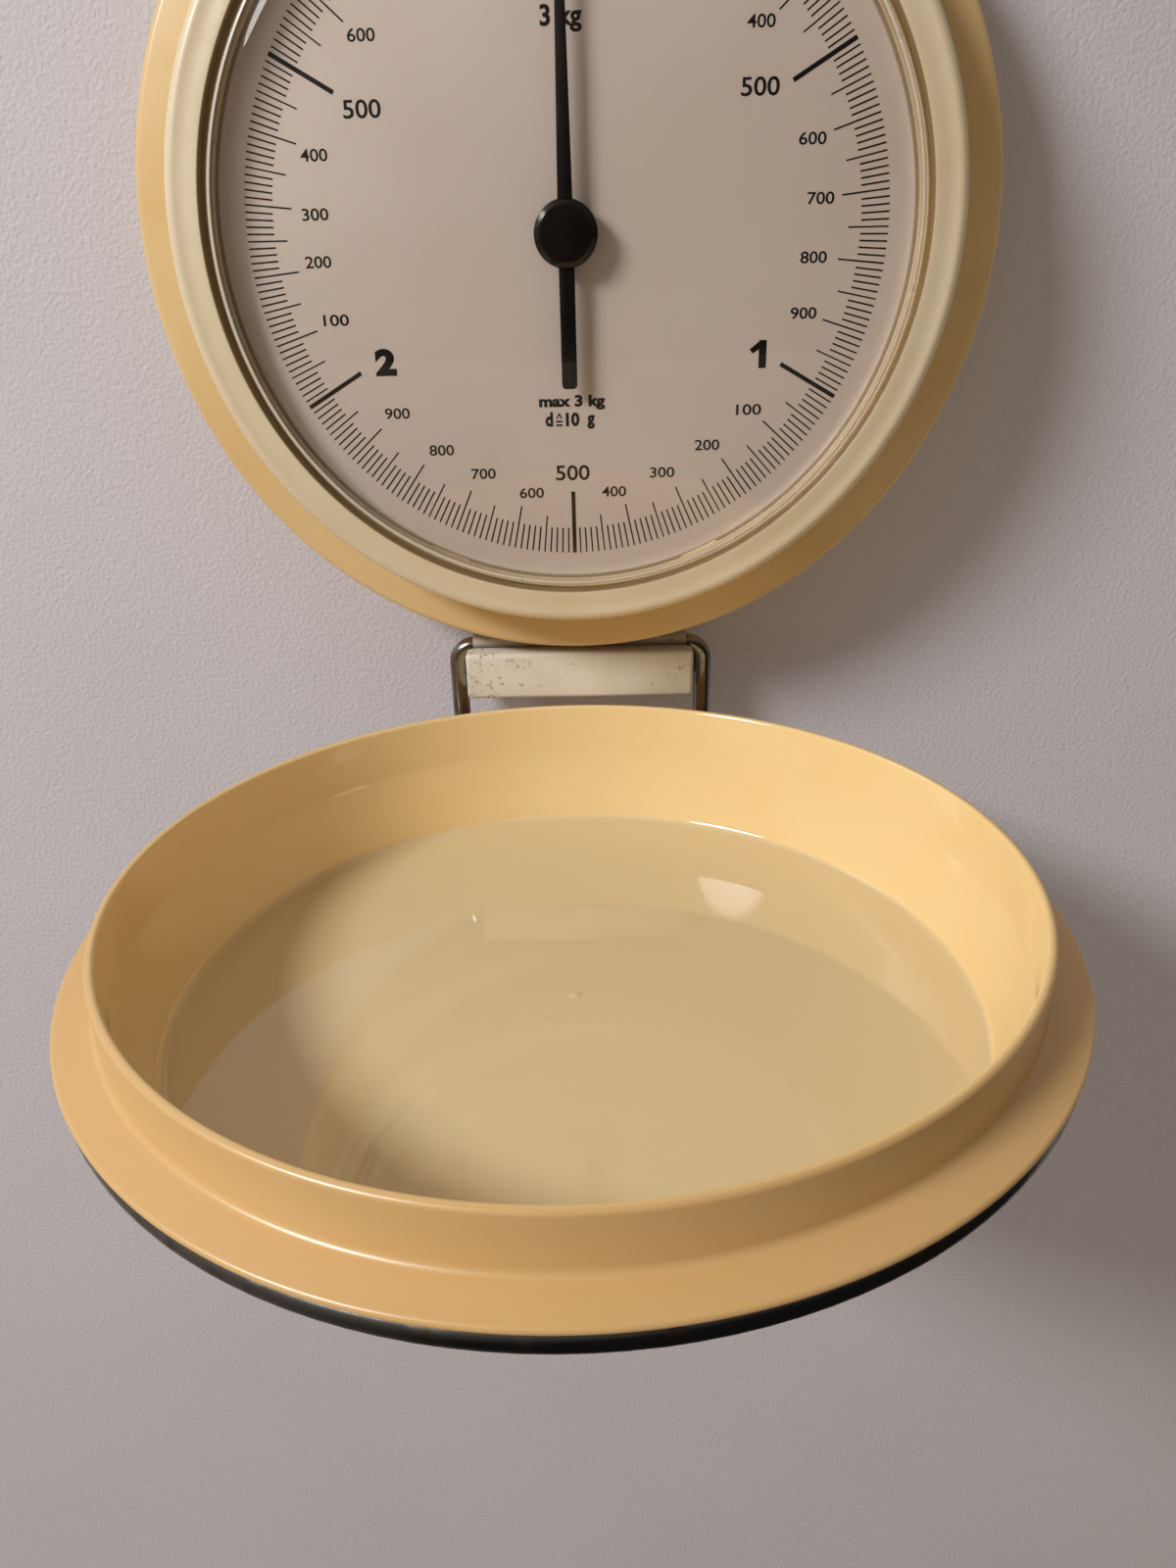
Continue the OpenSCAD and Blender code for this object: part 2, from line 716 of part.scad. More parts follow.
module rack() {
    low = -8;
    high = travel + 8;
    first = ceil(low / tooth_pitch + 0.5);
    last = floor(high / tooth_pitch - 0.5);
    color(brass) on_wall() slab(carriage_front, carriage_front + rack_t) difference() {
        union() {
            translate([pinion_pitch_r + dedendum - 0.01, low]) square([rack_back, high - low]);
            for (i = [first : last])
                translate([pinion_pitch_r, (i - 0.5) * tooth_pitch]) rack_tooth();
        }
        for (z = rack_rivet_levels())
            translate([rack_rivet_x(), z]) circle(r = 1 + fixed_gap);
    }
}

module rack_rivets() {
    color(steel) on_wall() for (z = rack_rivet_levels()) {
        rod(rack_rivet_x(), z, 1, carriage_back, carriage_front + rack_t);
        rod(rack_rivet_x(), z, 1.7, carriage_front + rack_t, carriage_front + rack_t + 0.6);
    }
}

module arm_slide_pins() {
    color(steel) on_wall() for (z = arm_levels) {
        rod(arm_pin_x, z, arm_pin_r - 0.5, arm_back, carriage_front);
        rod(arm_pin_x, z, arm_pin_r, arm_back - slide_gap, carriage_back);
        rod(arm_pin_x, z, arm_pin_r + 1.5, arm_back - slide_gap - 0.7, arm_back - slide_gap);
    }
}

module front_bar() {
    depth = bar_front_h - bar_back_h;
    mid = (bar_top + bar_bottom) / 2;
    color(cream) on_wall() difference() {
        intersection() {
            translate([0, mid, bar_back_h]) linear_extrude(depth) round_box(bar_w, bar_z, 2.2);
            translate([-bar_w / 2, mid, bar_front_h]) rotate([90, 0, 90])
                linear_extrude(bar_w) translate([0, -depth]) round_box(bar_z, 2 * depth, 1.4);
        }
        difference() {
            translate([-bar_w / 2 + bar_wall, bar_bottom + bar_wall, bar_back_h - 1])
                cube([bar_w - 2 * bar_wall, bar_z - 2 * bar_wall, depth - bar_wall + 1]);
            for (side = [-1, 1])
                rod(side * bar_screw_x, bar_screw_z, 3, bar_back_h, bar_front_h);
        }
        for (side = [-1, 1])
            rod(side * bar_screw_x, bar_screw_z, 1.2, 0, bar_front_h - bar_wall - 0.5);
        translate([-bar_w / 2 - 1, hinge_z, hinge_h]) rotate([0, 90, 0])
            cylinder(r = barrel_r + 0.4, h = bar_w + 2);
    }
}

module bar_screws() {
    color(steel) on_wall() for (side = [-1, 1]) {
        rod(side * bar_screw_x, bar_screw_z, 1.15, carriage_back - 0.1, bar_front_h - bar_wall - 1);
        rod(side * bar_screw_x, bar_screw_z, 2.3, carriage_back - 1.3, carriage_back);
    }
}

// ---- Arms ----

// An arm that points right from its pivot and rises to its slot
module arm_at(z) {
    rise = atan(arm_rise / arm_l);
    reach = norm([arm_l, arm_rise]);
    half = arm_pin_r + run_gap;
    color(steel) on_wall() translate([arm_pin_x - arm_l, z - arm_rise, arm_back]) rotate(rise)
        linear_extrude(arm_t) difference() {
            union() {
                translate([0, -arm_w / 2]) square([reach, arm_w]);
                for (x = [0, reach])
                    translate([x, 0]) circle(r = arm_w / 2);
            }
            circle(r = arm_pin_r + run_gap);
            translate([reach, 0]) for (s = [-slot_extra, slot_extra / 2])
                translate([s, 0]) circle(r = half + 0.1);
            translate([reach - slot_extra, -half - 0.1]) square([1.5 * slot_extra, 2 * half + 0.2]);
        }
}

module upper_arm() {
    arm_at(arm_levels[0]);
}

module lower_arm() {
    arm_at(arm_levels[1]);
}

// ---- Pointer ----

module pinion_shaft() {
    tip = dial_h + pointer_gap + pointer_t + 0.4;
    color(steel) on_wall() {
        rod(0, 0, shaft_r, cover_front + 0.2, tip);
        rod(0, 0, shaft_r + 1, chassis_front + 1.5 + slide_gap, chassis_front + 2.5);
    }
}

// One pinion tooth, pointing along X
module pinion_tooth() {
    outer = pinion_pitch_r + addendum;
    root = pinion_pitch_r - dedendum;
    half = pinion_pitch_r * PI / pinion_teeth / 2 - backlash / 2;
    polygon([[root - 0.15, -half - 0.25], [pinion_pitch_r, -half], [outer, -half * 0.45],
        [outer, half * 0.45], [pinion_pitch_r, half], [root - 0.15, half + 0.25]]);
}

module pinion() {
    color(brass) on_wall() slab(pinion_h, pinion_h + pinion_w) difference() {
        union() {
            circle(r = pinion_pitch_r - dedendum);
            for (i = [0 : pinion_teeth - 1])
                rotate(360 * i / pinion_teeth) pinion_tooth();
        }
        circle(r = shaft_r + fixed_gap);
    }
}

module pointer() {
    back = dial_h + pointer_gap;
    color(dark) on_wall() slab(back, back + pointer_t) difference() {
        union() {
            circle(r = hub_r);
            polygon([[-needle_w / 2, 0], [needle_w / 2, 0], [tip_w / 2, needle_l - 2], [0, needle_l],
                [-tip_w / 2, needle_l - 2]]);
            translate([-needle_w / 2, -tail_l + needle_w / 2]) square([needle_w, tail_l - needle_w / 2]);
            translate([0, -tail_l + needle_w / 2]) circle(r = needle_w / 2);
        }
        circle(r = shaft_r + fixed_gap);
    }
}

module pointer_cap() {
    base = dial_h + pointer_gap + pointer_t;
    color(dark) on_wall() difference() {
        rotate_extrude() polygon([[0, base], [hub_r - 0.3, base], [hub_r - 0.3, base + 0.9],
            [hub_r - 1.3, base + 1.5], [0, base + 1.7]]);
        rod(0, 0, shaft_r + fixed_gap, base - 1, base + 0.6);
    }
}

// ---- Wire frame and bowl ----

// The wire of one side, from its end in the hinge barrel to where it meets the ring
module wire_side(turn_x, turn_y, meet) {
    hinge_y = -hinge_h;
    foot_y = hinge_y - foot_bend_r;
    translate([carriage_w / 2 - stub_l, hinge_y, hinge_z]) rotate([0, 90, 0])
        cylinder(r = wire_r, h = leg_x - top_bend_r - carriage_w / 2 + stub_l);
    translate([leg_x - top_bend_r, hinge_y, hinge_z - top_bend_r]) rotate([90, 0, 0])
        rotate_extrude(angle = 90) translate([top_bend_r, 0]) circle(r = wire_r);
    translate([leg_x, hinge_y, ring_z + foot_bend_r])
        cylinder(r = wire_r, h = hinge_z - top_bend_r - ring_z - foot_bend_r);
    translate([leg_x, foot_y, ring_z + foot_bend_r]) rotate([90, 0, 90]) rotate(-90)
        rotate_extrude(angle = 90) translate([foot_bend_r, 0]) circle(r = wire_r);
    translate([leg_x, foot_y, ring_z]) rotate([90, 0, 0])
        cylinder(r = wire_r, h = foot_y - turn_y - weld_gap);
    translate([leg_x, turn_y, ring_z]) weld_sleeve();
    translate([turn_x, turn_y, ring_z]) rotate(180 + weld_angle)
        rotate_extrude(angle = meet - 2 * weld_angle) translate([turn_r, 0]) circle(r = wire_r);
    translate([ring_r * cos(meet), ring_r * sin(meet) - bowl_axis_h, ring_z]) rotate(meet) weld_sleeve();
}

// A sleeve on a wire that runs along Y
module weld_sleeve() {
    rotate([90, 0, 0]) cylinder(r = wire_r + weld_r, h = weld_l, center = true);
}

module pan_frame() {
    turn_x = leg_x + turn_r;
    turn_y = -bowl_axis_h + sqrt(pow(ring_r + turn_r, 2) - pow(turn_x, 2));
    meet = atan2(turn_y + bowl_axis_h, turn_x);
    ring_gap = weld_angle * turn_r / ring_r;
    color("silver") {
        wire_side(turn_x, turn_y, meet);
        mirror([1, 0, 0]) wire_side(turn_x, turn_y, meet);
        translate([0, -bowl_axis_h, ring_z]) rotate(180 - meet + ring_gap)
            rotate_extrude(angle = 180 + 2 * (meet - ring_gap), $fn = 160)
                translate([ring_r, 0]) circle(r = wire_r);
    }
}

module bowl() {
    inner_r = rim_r - bowl_wall;
    corner = 5;
    lip = bowl_wall / 2;
    edge = flange_t / 2;
    out_floor = floor_r + 1.6;
    color(yellow) translate([0, -bowl_axis_h, rim_z]) rotate_extrude($fn = 160) polygon(concat(
        [[0, -bowl_depth + 0.3], [1.2, -bowl_depth + 0.3], [1.6, -bowl_depth]],
        arc(floor_r - corner, -bowl_depth + corner, corner, -90, -8, 6),
        [[inner_r - 0.3, -flange_drop]],
        arc(rim_r - lip, -lip, lip, 180, 0, 8),
        arc(rim_r + 1.5, -flange_drop + flange_t + 2.4, 1.5, 180, 262, 4),
        arc(flange_r - edge, -flange_drop + edge, edge, 80, -90, 6),
        [[rim_r - 0.5, -flange_drop]],
        arc(out_floor - corner, -bowl_depth - bowl_wall + corner, corner, -8, -90, 6),
        [[0, -bowl_depth - bowl_wall]]));
}

wall_bracket();
rear_cover();
housing_shell();
bezel_ring();
lens();
dial_plate();
chassis_plate();
front_bridge();
bridge_standoffs();
bridge_screws();
chassis_screws();
cover_screws();
rear_bush();
front_bush();
guide_pads();
arm_pivot_pins();
spring_left();
spring_right();
spring_yoke();
zero_screw();
zero_knob();
carriage_plate();
rack();
rack_rivets();
arm_slide_pins();
front_bar();
bar_screws();
upper_arm();
lower_arm();
pinion_shaft();
pinion();
pointer();
pointer_cap();
pan_frame();
bowl();
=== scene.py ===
# %% [markdown]
# # A wall kitchen scale with a bowl that folds up over its dial
# The scale hangs on a wall: a round drum carries a dial under a domed lens, and a wire frame below it holds a bowl.
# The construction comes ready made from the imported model. This lesson gives it its finish: smooth moulded shells,
# a printed dial, plated wire, aged plastic, and plain studio light.

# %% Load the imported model
import math
import bpy
from mathutils import Matrix, Vector


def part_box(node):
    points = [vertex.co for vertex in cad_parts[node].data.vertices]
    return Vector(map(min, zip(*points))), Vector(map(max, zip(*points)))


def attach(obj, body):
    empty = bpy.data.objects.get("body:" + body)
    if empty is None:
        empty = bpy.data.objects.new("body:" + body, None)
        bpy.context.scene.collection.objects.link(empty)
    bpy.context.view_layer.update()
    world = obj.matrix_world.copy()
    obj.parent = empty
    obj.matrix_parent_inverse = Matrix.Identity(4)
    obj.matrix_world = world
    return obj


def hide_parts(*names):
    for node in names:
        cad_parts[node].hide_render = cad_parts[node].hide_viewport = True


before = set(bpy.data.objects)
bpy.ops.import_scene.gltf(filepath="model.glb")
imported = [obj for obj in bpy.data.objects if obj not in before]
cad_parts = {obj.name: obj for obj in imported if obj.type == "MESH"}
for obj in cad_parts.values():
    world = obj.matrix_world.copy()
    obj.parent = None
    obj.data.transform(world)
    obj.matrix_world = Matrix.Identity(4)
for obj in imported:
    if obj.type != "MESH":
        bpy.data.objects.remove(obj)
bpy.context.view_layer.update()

MM = 0.001

# %% [markdown]
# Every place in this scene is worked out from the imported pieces. A small helper gives a node's corners in
# millimetres. A piece's height is its distance from the wall, which is minus Y.

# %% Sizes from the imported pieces
def corners(node):
    """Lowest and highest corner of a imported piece, in millimetres."""
    low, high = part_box(node)
    return low / MM, high / MM


def on_wall(x, height, z):
    """A place in metres, from millimetres across, out from the wall and up."""
    return Vector((x, -height, z)) * MM


drum_high = corners("housing_shell")[1]
drum_r, wall_gap = drum_high.x, -drum_high.y
bezel_low, bezel_high = corners("bezel_ring")
bezel_r, bezel_front, ledge_h = bezel_high.x, -bezel_low.y, -bezel_high.y
dial_h = -corners("dial_plate")[0].y
bowl_low, bowl_high = corners("bowl")
bowl_axis = Vector((0, (bowl_low.y + bowl_high.y) / 2, bowl_high.z))
flange_r = bowl_high.x
print("drum radius", round(drum_r, 2), "bezel radius", round(bezel_r, 2), "dial height", round(dial_h, 2))
print("bowl rim centre", [round(x, 2) for x in bowl_axis], "flange radius", round(flange_r, 2))

# %% [markdown]
# ## The camera
# It stands a forearm's length in front of the dial and looks down into the bowl. The three angles are how far it
# looks down, how far it turns to the left, and how far it leans.

# %% Place the camera
camera_place = on_wall(8.9, 331.5, -5.8)
look_down, turn_left, lean = 24.746, 1.347, -1.386
turned = (
    Matrix.Rotation(math.radians(turn_left), 3, "Z")
    @ Matrix.Rotation(math.radians(90 - look_down), 3, "X")
    @ Matrix.Rotation(math.radians(lean), 3, "Z")
)
bpy.ops.object.camera_add(location=camera_place, rotation=turned.to_euler())
camera = bpy.context.object
camera.data.sensor_width = 36
camera.data.lens = 26.05
camera.data.clip_start = 0.01
bpy.context.scene.camera = camera
print("camera looks along", [round(x, 3) for x in -turned.col[2]])

# %% [markdown]
# ## Working with operators
# Blender's operators act on whatever is selected, so each step starts by clearing the selection. These helpers do
# what the hand does in the viewport: pick a piece, write its place into its mesh, apply a modifier.

# %% Pick pieces, and settle a new one
def pick(*pieces):
    """Only these pieces are selected, and the first is active."""
    bpy.ops.object.select_all(action="DESELECT")
    for piece in pieces:
        piece.select_set(True)
    if pieces:
        bpy.context.view_layer.objects.active = pieces[0]


def settle(name):
    """Names the new primitive and writes its place into its mesh, so that its object sits at the origin."""
    piece = bpy.context.object
    piece.name = piece.data.name = name
    pick(piece)
    bpy.ops.object.transform_apply(location=True, rotation=True, scale=True)
    return piece


# %% Add a block or a rod
def block(name, low, high):
    """A block between two corners, each given as across, out from the wall and up, in millimetres."""
    pick()
    low, high = on_wall(*low), on_wall(*high)
    size = [abs(b - a) for a, b in zip(low, high)]
    bpy.ops.mesh.primitive_cube_add(size=1, location=(low + high) / 2, scale=size)
    return settle(name)


def rod(name, radius, start, end, steps=96):
    """A rod between two places, each given as across, out from the wall and up, all in millimetres."""
    pick()
    start, end = on_wall(*start), on_wall(*end)
    turn = Vector((0, 0, 1)).rotation_difference(end - start).to_euler()
    bpy.ops.mesh.primitive_cylinder_add(
        vertices=steps, radius=radius * MM, depth=(end - start).length, location=(start + end) / 2, rotation=turn
    )
    return settle(name)


# %% Apply a modifier, and join or cut with another solid
def modify(piece, kind, **settings):
    """Adds a modifier with its settings, and applies it."""
    pick(piece)
    bpy.ops.object.modifier_add(type=kind)
    modifier = piece.modifiers[-1]
    for key, value in settings.items():
        setattr(modifier, key, value)
    bpy.ops.object.modifier_apply(modifier=modifier.name)


def join_or_cut(piece, other, operation):
    """Joins another solid to a piece (UNION) or cuts it out (DIFFERENCE). The other solid is used up."""
    modify(piece, "BOOLEAN", operation=operation, object=other, solver="EXACT")
    bpy.data.objects.remove(other)


# %% Finish a mesh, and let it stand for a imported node
def finish_mesh(piece, fill=False, degrees=30):
    """Merges doubles, closes poles if asked, turns faces outwards, and shades smoothly up to an angle."""
    pick(piece)
    bpy.ops.object.mode_set(mode="EDIT")
    bpy.ops.mesh.select_all(action="SELECT")
    bpy.ops.mesh.remove_doubles(threshold=2e-6)
    if fill:
        bpy.ops.mesh.fill_holes(sides=0)
    bpy.ops.mesh.select_all(action="SELECT")
    bpy.ops.mesh.normals_make_consistent(inside=False)
    bpy.ops.object.mode_set(mode="OBJECT")
    bpy.ops.object.shade_smooth_by_angle(angle=math.radians(degrees))
    size = [round(x / MM, 1) for x in piece.dimensions]
    print(f"{piece.name}: {size} mm, {len(piece.data.polygons)} faces")


def stands_for(piece, node, body):
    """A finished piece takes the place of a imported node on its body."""
    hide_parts(node)
    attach(piece, body)


# %% [markdown]
# ## Turned shapes
# The drum, the bezel, the lens and the bowl are round mouldings, so each is one outline turned about an axis. By hand
# this is a ring that is extruded, then scaled, from point to point. A spin would do the same, but the ring keeps
# every loop true to its radius and lets the poles be closed at the end.

# %% Pull a ring along an outline
def arc(x, y, r, start, end, steps):
    """Points of an arc in an outline, from one angle to another in degrees."""
    turns = [math.radians(start + (end - start) * i / steps) for i in range(steps + 1)]
    return [(x + r * math.cos(a), y + r * math.sin(a)) for a in turns]


def turned_shape(name, outline, steps=256, centre=(0, 0, 0), out=(0, -1, 0)):
    """Turns an outline of (radius, height) points, in mm, about an axis through centre that points out."""
    centre, out = Vector(centre), Vector(out)
    radius, height = outline[0]
    turn = Vector((0, 0, 1)).rotation_difference(out).to_euler()
    pick()
    bpy.ops.mesh.primitive_circle_add(
        vertices=steps, radius=radius * MM, location=(centre + out * height) * MM, rotation=turn
    )
    piece = settle(name)
    bpy.ops.object.mode_set(mode="EDIT")
    bpy.ops.mesh.select_mode(type="EDGE")
    bpy.ops.mesh.select_all(action="SELECT")
    for r, h in outline[1:]:
        bpy.ops.mesh.extrude_edges_move(TRANSFORM_OT_translate={"value": out * (h - height) * MM})
        grow = r / radius
        bpy.ops.transform.resize(
            value=[1 + (grow - 1) * (1 - abs(x)) for x in out],
            center_override=(centre + out * h) * MM,
        )
        radius, height = r, h
    bpy.ops.object.mode_set(mode="OBJECT")
    finish_mesh(piece, fill=True)
    return piece


# %% [markdown]
# ## The drum
# The housing is one deep moulding in yellowed ABS: a skirt with a softly rounded edge, a ledge that slopes a little,
# and a neck inside that carries the dial. The outline is turned first. Four screw bosses are then joined to its
# inside, and the carriage's notch, the screw holes and the zero screw's hole are cut with boolean modifiers, because
# they cross the turned wall where no loop runs.

# %% Turn the drum
drum_wall, edge_r = 2.2, 2.0
inner_r = drum_r - drum_wall
skirt_h, neck_h = ledge_h - 1.4, dial_h - 1
neck_outer, neck_inner = bezel_r - 4.6, bezel_r - 7.6
drum = turned_shape(
    "drum_shell",
    [(inner_r, wall_gap), (drum_r, wall_gap)]
    + arc(drum_r - edge_r, skirt_h - edge_r, edge_r, 0, 84, 10)
    + [(bezel_r, ledge_h), (neck_outer, ledge_h), (neck_outer, neck_h), (neck_inner, neck_h)]
    + [(neck_inner, ledge_h - drum_wall), (bezel_r, ledge_h - drum_wall)]
    + [(inner_r - 1, skirt_h - drum_wall - 0.6), (inner_r, skirt_h - drum_wall - 1.6), (inner_r, wall_gap)],
    steps=192,
)

# %% Join the bosses and drill them for the cover's screws
boss_ring, boss_r, hole_r = 94.0, 4.5, 1.6
cover_front, hole_end = 6.2, 16
for quarter in range(4):
    angle = math.radians(45 + 90 * quarter)
    x, z = boss_ring * math.cos(angle), boss_ring * math.sin(angle)
    boss = rod("boss", boss_r, (x, cover_front, z), (x, ledge_h - drum_wall + 0.5, z), 48)
    join_or_cut(drum, boss, "UNION")
    hole = rod("hole", hole_r, (x, cover_front - 1, z), (x, hole_end, z), 32)
    join_or_cut(drum, hole, "DIFFERENCE")
print("bosses for the cover's screws:", quarter + 1)

# %% Cut the carriage's notch and the zero screw's hole
hinge_h = 13.5  # the hinge and the zero screw lie equally far out from the wall
notch_half, notch_front, notch_top = 32.3, 18.5, -91.3
notch = block("notch", (-notch_half, -1, -drum_r - 1), (notch_half, notch_front, notch_top))
join_or_cut(drum, notch, "DIFFERENCE")
knob_hole = rod("hole", 2.6, (0, hinge_h, inner_r - 2), (0, hinge_h, drum_r + 2), 48)
join_or_cut(drum, knob_hole, "DIFFERENCE")
finish_mesh(drum)
stands_for(drum, "housing_shell", "housing")

# %% [markdown]
# ## The bezel
# A cream ring presses over the neck and holds the lens. Seen from the front it has a rounded outer bead, a very
# shallow channel, and a fine inner lip beside the lens's rim. These curves catch the light as soft lines, so the
# outline follows each of them, to a tenth of a millimetre.

# %% Turn the bezel
bore_r, bead_r, lip_r = bezel_r - 8.3, 2.4, 0.5
catch_h, catch_out = 41.0, 0.35
sleeve_r, skin_r = bore_r + 1.8, bezel_r - 2.2
channel = [(3.3, 0.43), (4.2, 0.46), (5.2, 0.36), (6.2, 0.2), (7.0, 0.08)]
bezel = turned_shape(
    "bezel_trim",
    [(bezel_r, ledge_h)]
    + arc(bezel_r - bead_r, bezel_front - 2.75, bead_r, 0, 97, 14)
    + [(bezel_r - inset, bezel_front - depth) for inset, depth in channel]
    + arc(bore_r + lip_r, bezel_front - lip_r, lip_r, 84, 180, 7)
    + [(bore_r, catch_h), (bore_r - catch_out, catch_h - 0.4), (bore_r - catch_out, catch_h - 0.9)]
    + [(bore_r, catch_h - 1.2), (bore_r, dial_h), (sleeve_r, dial_h), (sleeve_r, bezel_front - 4.2)]
    + [(skin_r, bezel_front - 3.4), (skin_r, ledge_h), (bezel_r, ledge_h)],
)
stands_for(bezel, "bezel_ring", "housing")

# %% [markdown]
# ## The lens
# The lens is pressed from clear sheet: a shallow dome on a short cylindrical rim, with four small tabs that snap under
# a catch inside the bezel. A real wall thickness matters here, because light bends at both of its faces, and the
# corner between dome and rim is rounded so that it can catch the light.

# %% Turn the lens
lens_r, lens_wall, corner_r = 82.1, 1.1, 1.0
crown_h, lens_top = -corners("lens")[0].y, bezel_front - 1.1
rise = crown_h - lens_top
dome_r = ((lens_r - corner_r) ** 2 + rise**2) / (2 * rise)
reach = math.degrees(math.asin((lens_r - corner_r) / dome_r))
lens = turned_shape(
    "clear_lens",
    arc(0, crown_h - dome_r, dome_r, 89.7, 90 - reach, 24)
    + arc(lens_r - corner_r, lens_top - corner_r, corner_r, 75, 0, 5)
    + [(lens_r, dial_h), (lens_r - lens_wall, dial_h), (lens_r - lens_wall, lens_top - 1.6)]
    + arc(0, crown_h - dome_r, dome_r - lens_wall, 90 - reach + 0.12, 89.7, 24),
)
print("the dome rises", round(rise, 1), "mm with a radius of", round(dome_r, 1), "mm")

# %% Join the tabs, two near the bottom and two near the top
tab_ring, tab_size = lens_r * 1.006, (9.6, 1.8, 2.6)
for angle in (23.5, -23.5, 156.5, 203.5):
    turn = math.radians(angle)
    pick()
    bpy.ops.mesh.primitive_cube_add(
        size=1,
        location=on_wall(tab_ring * math.sin(turn), catch_h - 2.5, -tab_ring * math.cos(turn)),
        rotation=(0, -turn, 0),
        scale=Vector(tab_size) * MM,
    )
    tab = settle("tab")
    modify(tab, "BEVEL", width=0.3 * MM, segments=2)
    join_or_cut(lens, tab, "UNION")
finish_mesh(lens)
stands_for(lens, "lens", "housing")

# %% [markdown]
# ## The bowl
# The bowl is one glossy injection moulding: a round bowl with steep walls and a wide turned-down flange that sits on
# the wire ring. The outline runs from the middle of the floor up the inside, over the rolled rim, out along the
# flange, and back underneath. A dot and a faint ring in the floor are the mark of the moulding gate. Points close
# beside each edge of a flat keep its smooth shading flat, so that the floor mirrors cleanly.

# %% Turn the bowl
rim_r, floor_r, bowl_depth, bowl_wall, flange_drop = 96.5, 89.2, 33.0, 2.0, 14.2
fillet_r, roll_r, root_r, flange_edge_r, heel_r = 2.4, 1.0, 1.5, 0.8, 5.0
gate_mark = [(0.2, 0.2), (1.0, 0.2), (1.4, 0), (1.8, 0)]
gate_mark += [(10.3, 0), (10.6, 0), (10.8, 0.02), (11.0, 0.02), (11.2, 0), (11.5, 0)]
bowl = turned_shape(
    "moulded_bowl",
    [(radius, -bowl_depth + rise) for radius, rise in gate_mark]
    + [(floor_r - 3.2, -bowl_depth)]
    + arc(floor_r - fillet_r, -bowl_depth + fillet_r, fillet_r, -90, -14, 8)
    + [(rim_r - bowl_wall - 0.5, -flange_drop - 1.2), (rim_r - bowl_wall - 0.25, -flange_drop + 1.2)]
    + arc(rim_r - roll_r, -roll_r, roll_r, 180, 0, 12)
    + arc(rim_r + root_r, -flange_drop + 4.0, root_r, 180, 262, 8)
    + arc(flange_r - flange_edge_r, -flange_drop + flange_edge_r, flange_edge_r, 80, -90, 8)
    + [(rim_r - 0.5, -flange_drop)]
    + arc(floor_r + 1.6 - heel_r, -bowl_depth - bowl_wall + heel_r, heel_r, -8, -90, 12)
    + [(0.2, -bowl_depth - bowl_wall)],
    centre=bowl_axis,
    out=(0, 0, 1),
)
stands_for(bowl, "bowl", "bowl")

# %% [markdown]
# ## The pointer
# The pointer is stamped from thin black sheet: a long needle that narrows to its tip, a straight tail that balances
# it, and a round hub. A block is cut in two at the hub, so that only its upper half can taper, and the hub is joined
# on. Stamping leaves a narrow rolled edge, which catches a thin line of light: for this the whole front is set back
# a little, and then the face that is left inside its edge is brought forward again.

# %% Open a piece in edit mode, and select by place
def choose_vertices(piece, test):
    """Selects, in edit mode, the vertices whose place in millimetres passes the test."""
    bpy.ops.mesh.select_mode(type="VERT")
    bpy.ops.mesh.select_all(action="DESELECT")
    bpy.ops.object.mode_set(mode="OBJECT")
    for vertex in piece.data.vertices:
        vertex.select = test(vertex.co / MM)
    bpy.ops.object.mode_set(mode="EDIT")


def edit(piece):
    """Opens a piece in edit mode with all of it selected."""
    pick(piece)
    bpy.ops.object.mode_set(mode="EDIT")
    bpy.ops.mesh.select_all(action="SELECT")


# %% Shape the needle, the tail and the hub
pointer_low, pointer_high = corners("pointer")
pointer_back, pointer_front = -pointer_high.y, -pointer_low.y
hub_r = corners("pointer_cap")[1].x + 0.3
tail_w, tip_share = 3.7, 0.42
pointer = block(
    "stamped_pointer",
    (-tail_w / 2, pointer_back, pointer_low.z),
    (tail_w / 2, pointer_front, pointer_high.z),
)
edit(pointer)
bpy.ops.mesh.bisect(plane_co=(0, 0, 0), plane_no=(0, 0, 1))
choose_vertices(pointer, lambda place: place.z > 1)
bpy.ops.transform.resize(value=(tip_share, 1, 1), center_override=(0, 0, 0))
choose_vertices(pointer, lambda place: place.z < -1)
bpy.ops.mesh.select_mode(type="EDGE")
bpy.ops.mesh.bevel(offset=0.9 * MM, segments=4, affect="EDGES")
bpy.ops.object.mode_set(mode="OBJECT")
hub = rod("hub", hub_r, (0, pointer_back, 0), (0, pointer_front, 0))
join_or_cut(pointer, hub, "UNION")
print("needle", round(pointer_high.z, 1), "mm, tail", round(-pointer_low.z, 1), "mm, hub radius", round(hub_r, 1))

# %% Roll the pointer's edge and bore its hub
edge_w, edge_drop, shaft_hole_r = 0.75, 0.3, 1.52
edit(pointer)
choose_vertices(pointer, lambda place: -place.y > pointer_front - 0.05)
bpy.ops.transform.translate(value=(0, edge_drop * MM, 0))
bpy.ops.mesh.select_mode(type="FACE")
bpy.ops.mesh.inset(thickness=edge_w * MM)
bpy.ops.transform.translate(value=(0, -edge_drop * MM, 0))
bpy.ops.object.mode_set(mode="OBJECT")
shaft = rod("shaft", shaft_hole_r, (0, pointer_back - 1, 0), (0, pointer_front + 1, 0), 48)
join_or_cut(pointer, shaft, "DIFFERENCE")
finish_mesh(pointer, degrees=25)
stands_for(pointer, "pointer", "pointer")

# %% [markdown]
# ## The bar at the hinge
# A hollow cream moulding covers the front of the carriage, just above the bowl. It starts deeper than it should be, so
# that every edge can be rounded alike, and a bisect then takes the back off flat. The hollow leaves two bosses for the
# screws, and a round cut clears the hinge barrel.

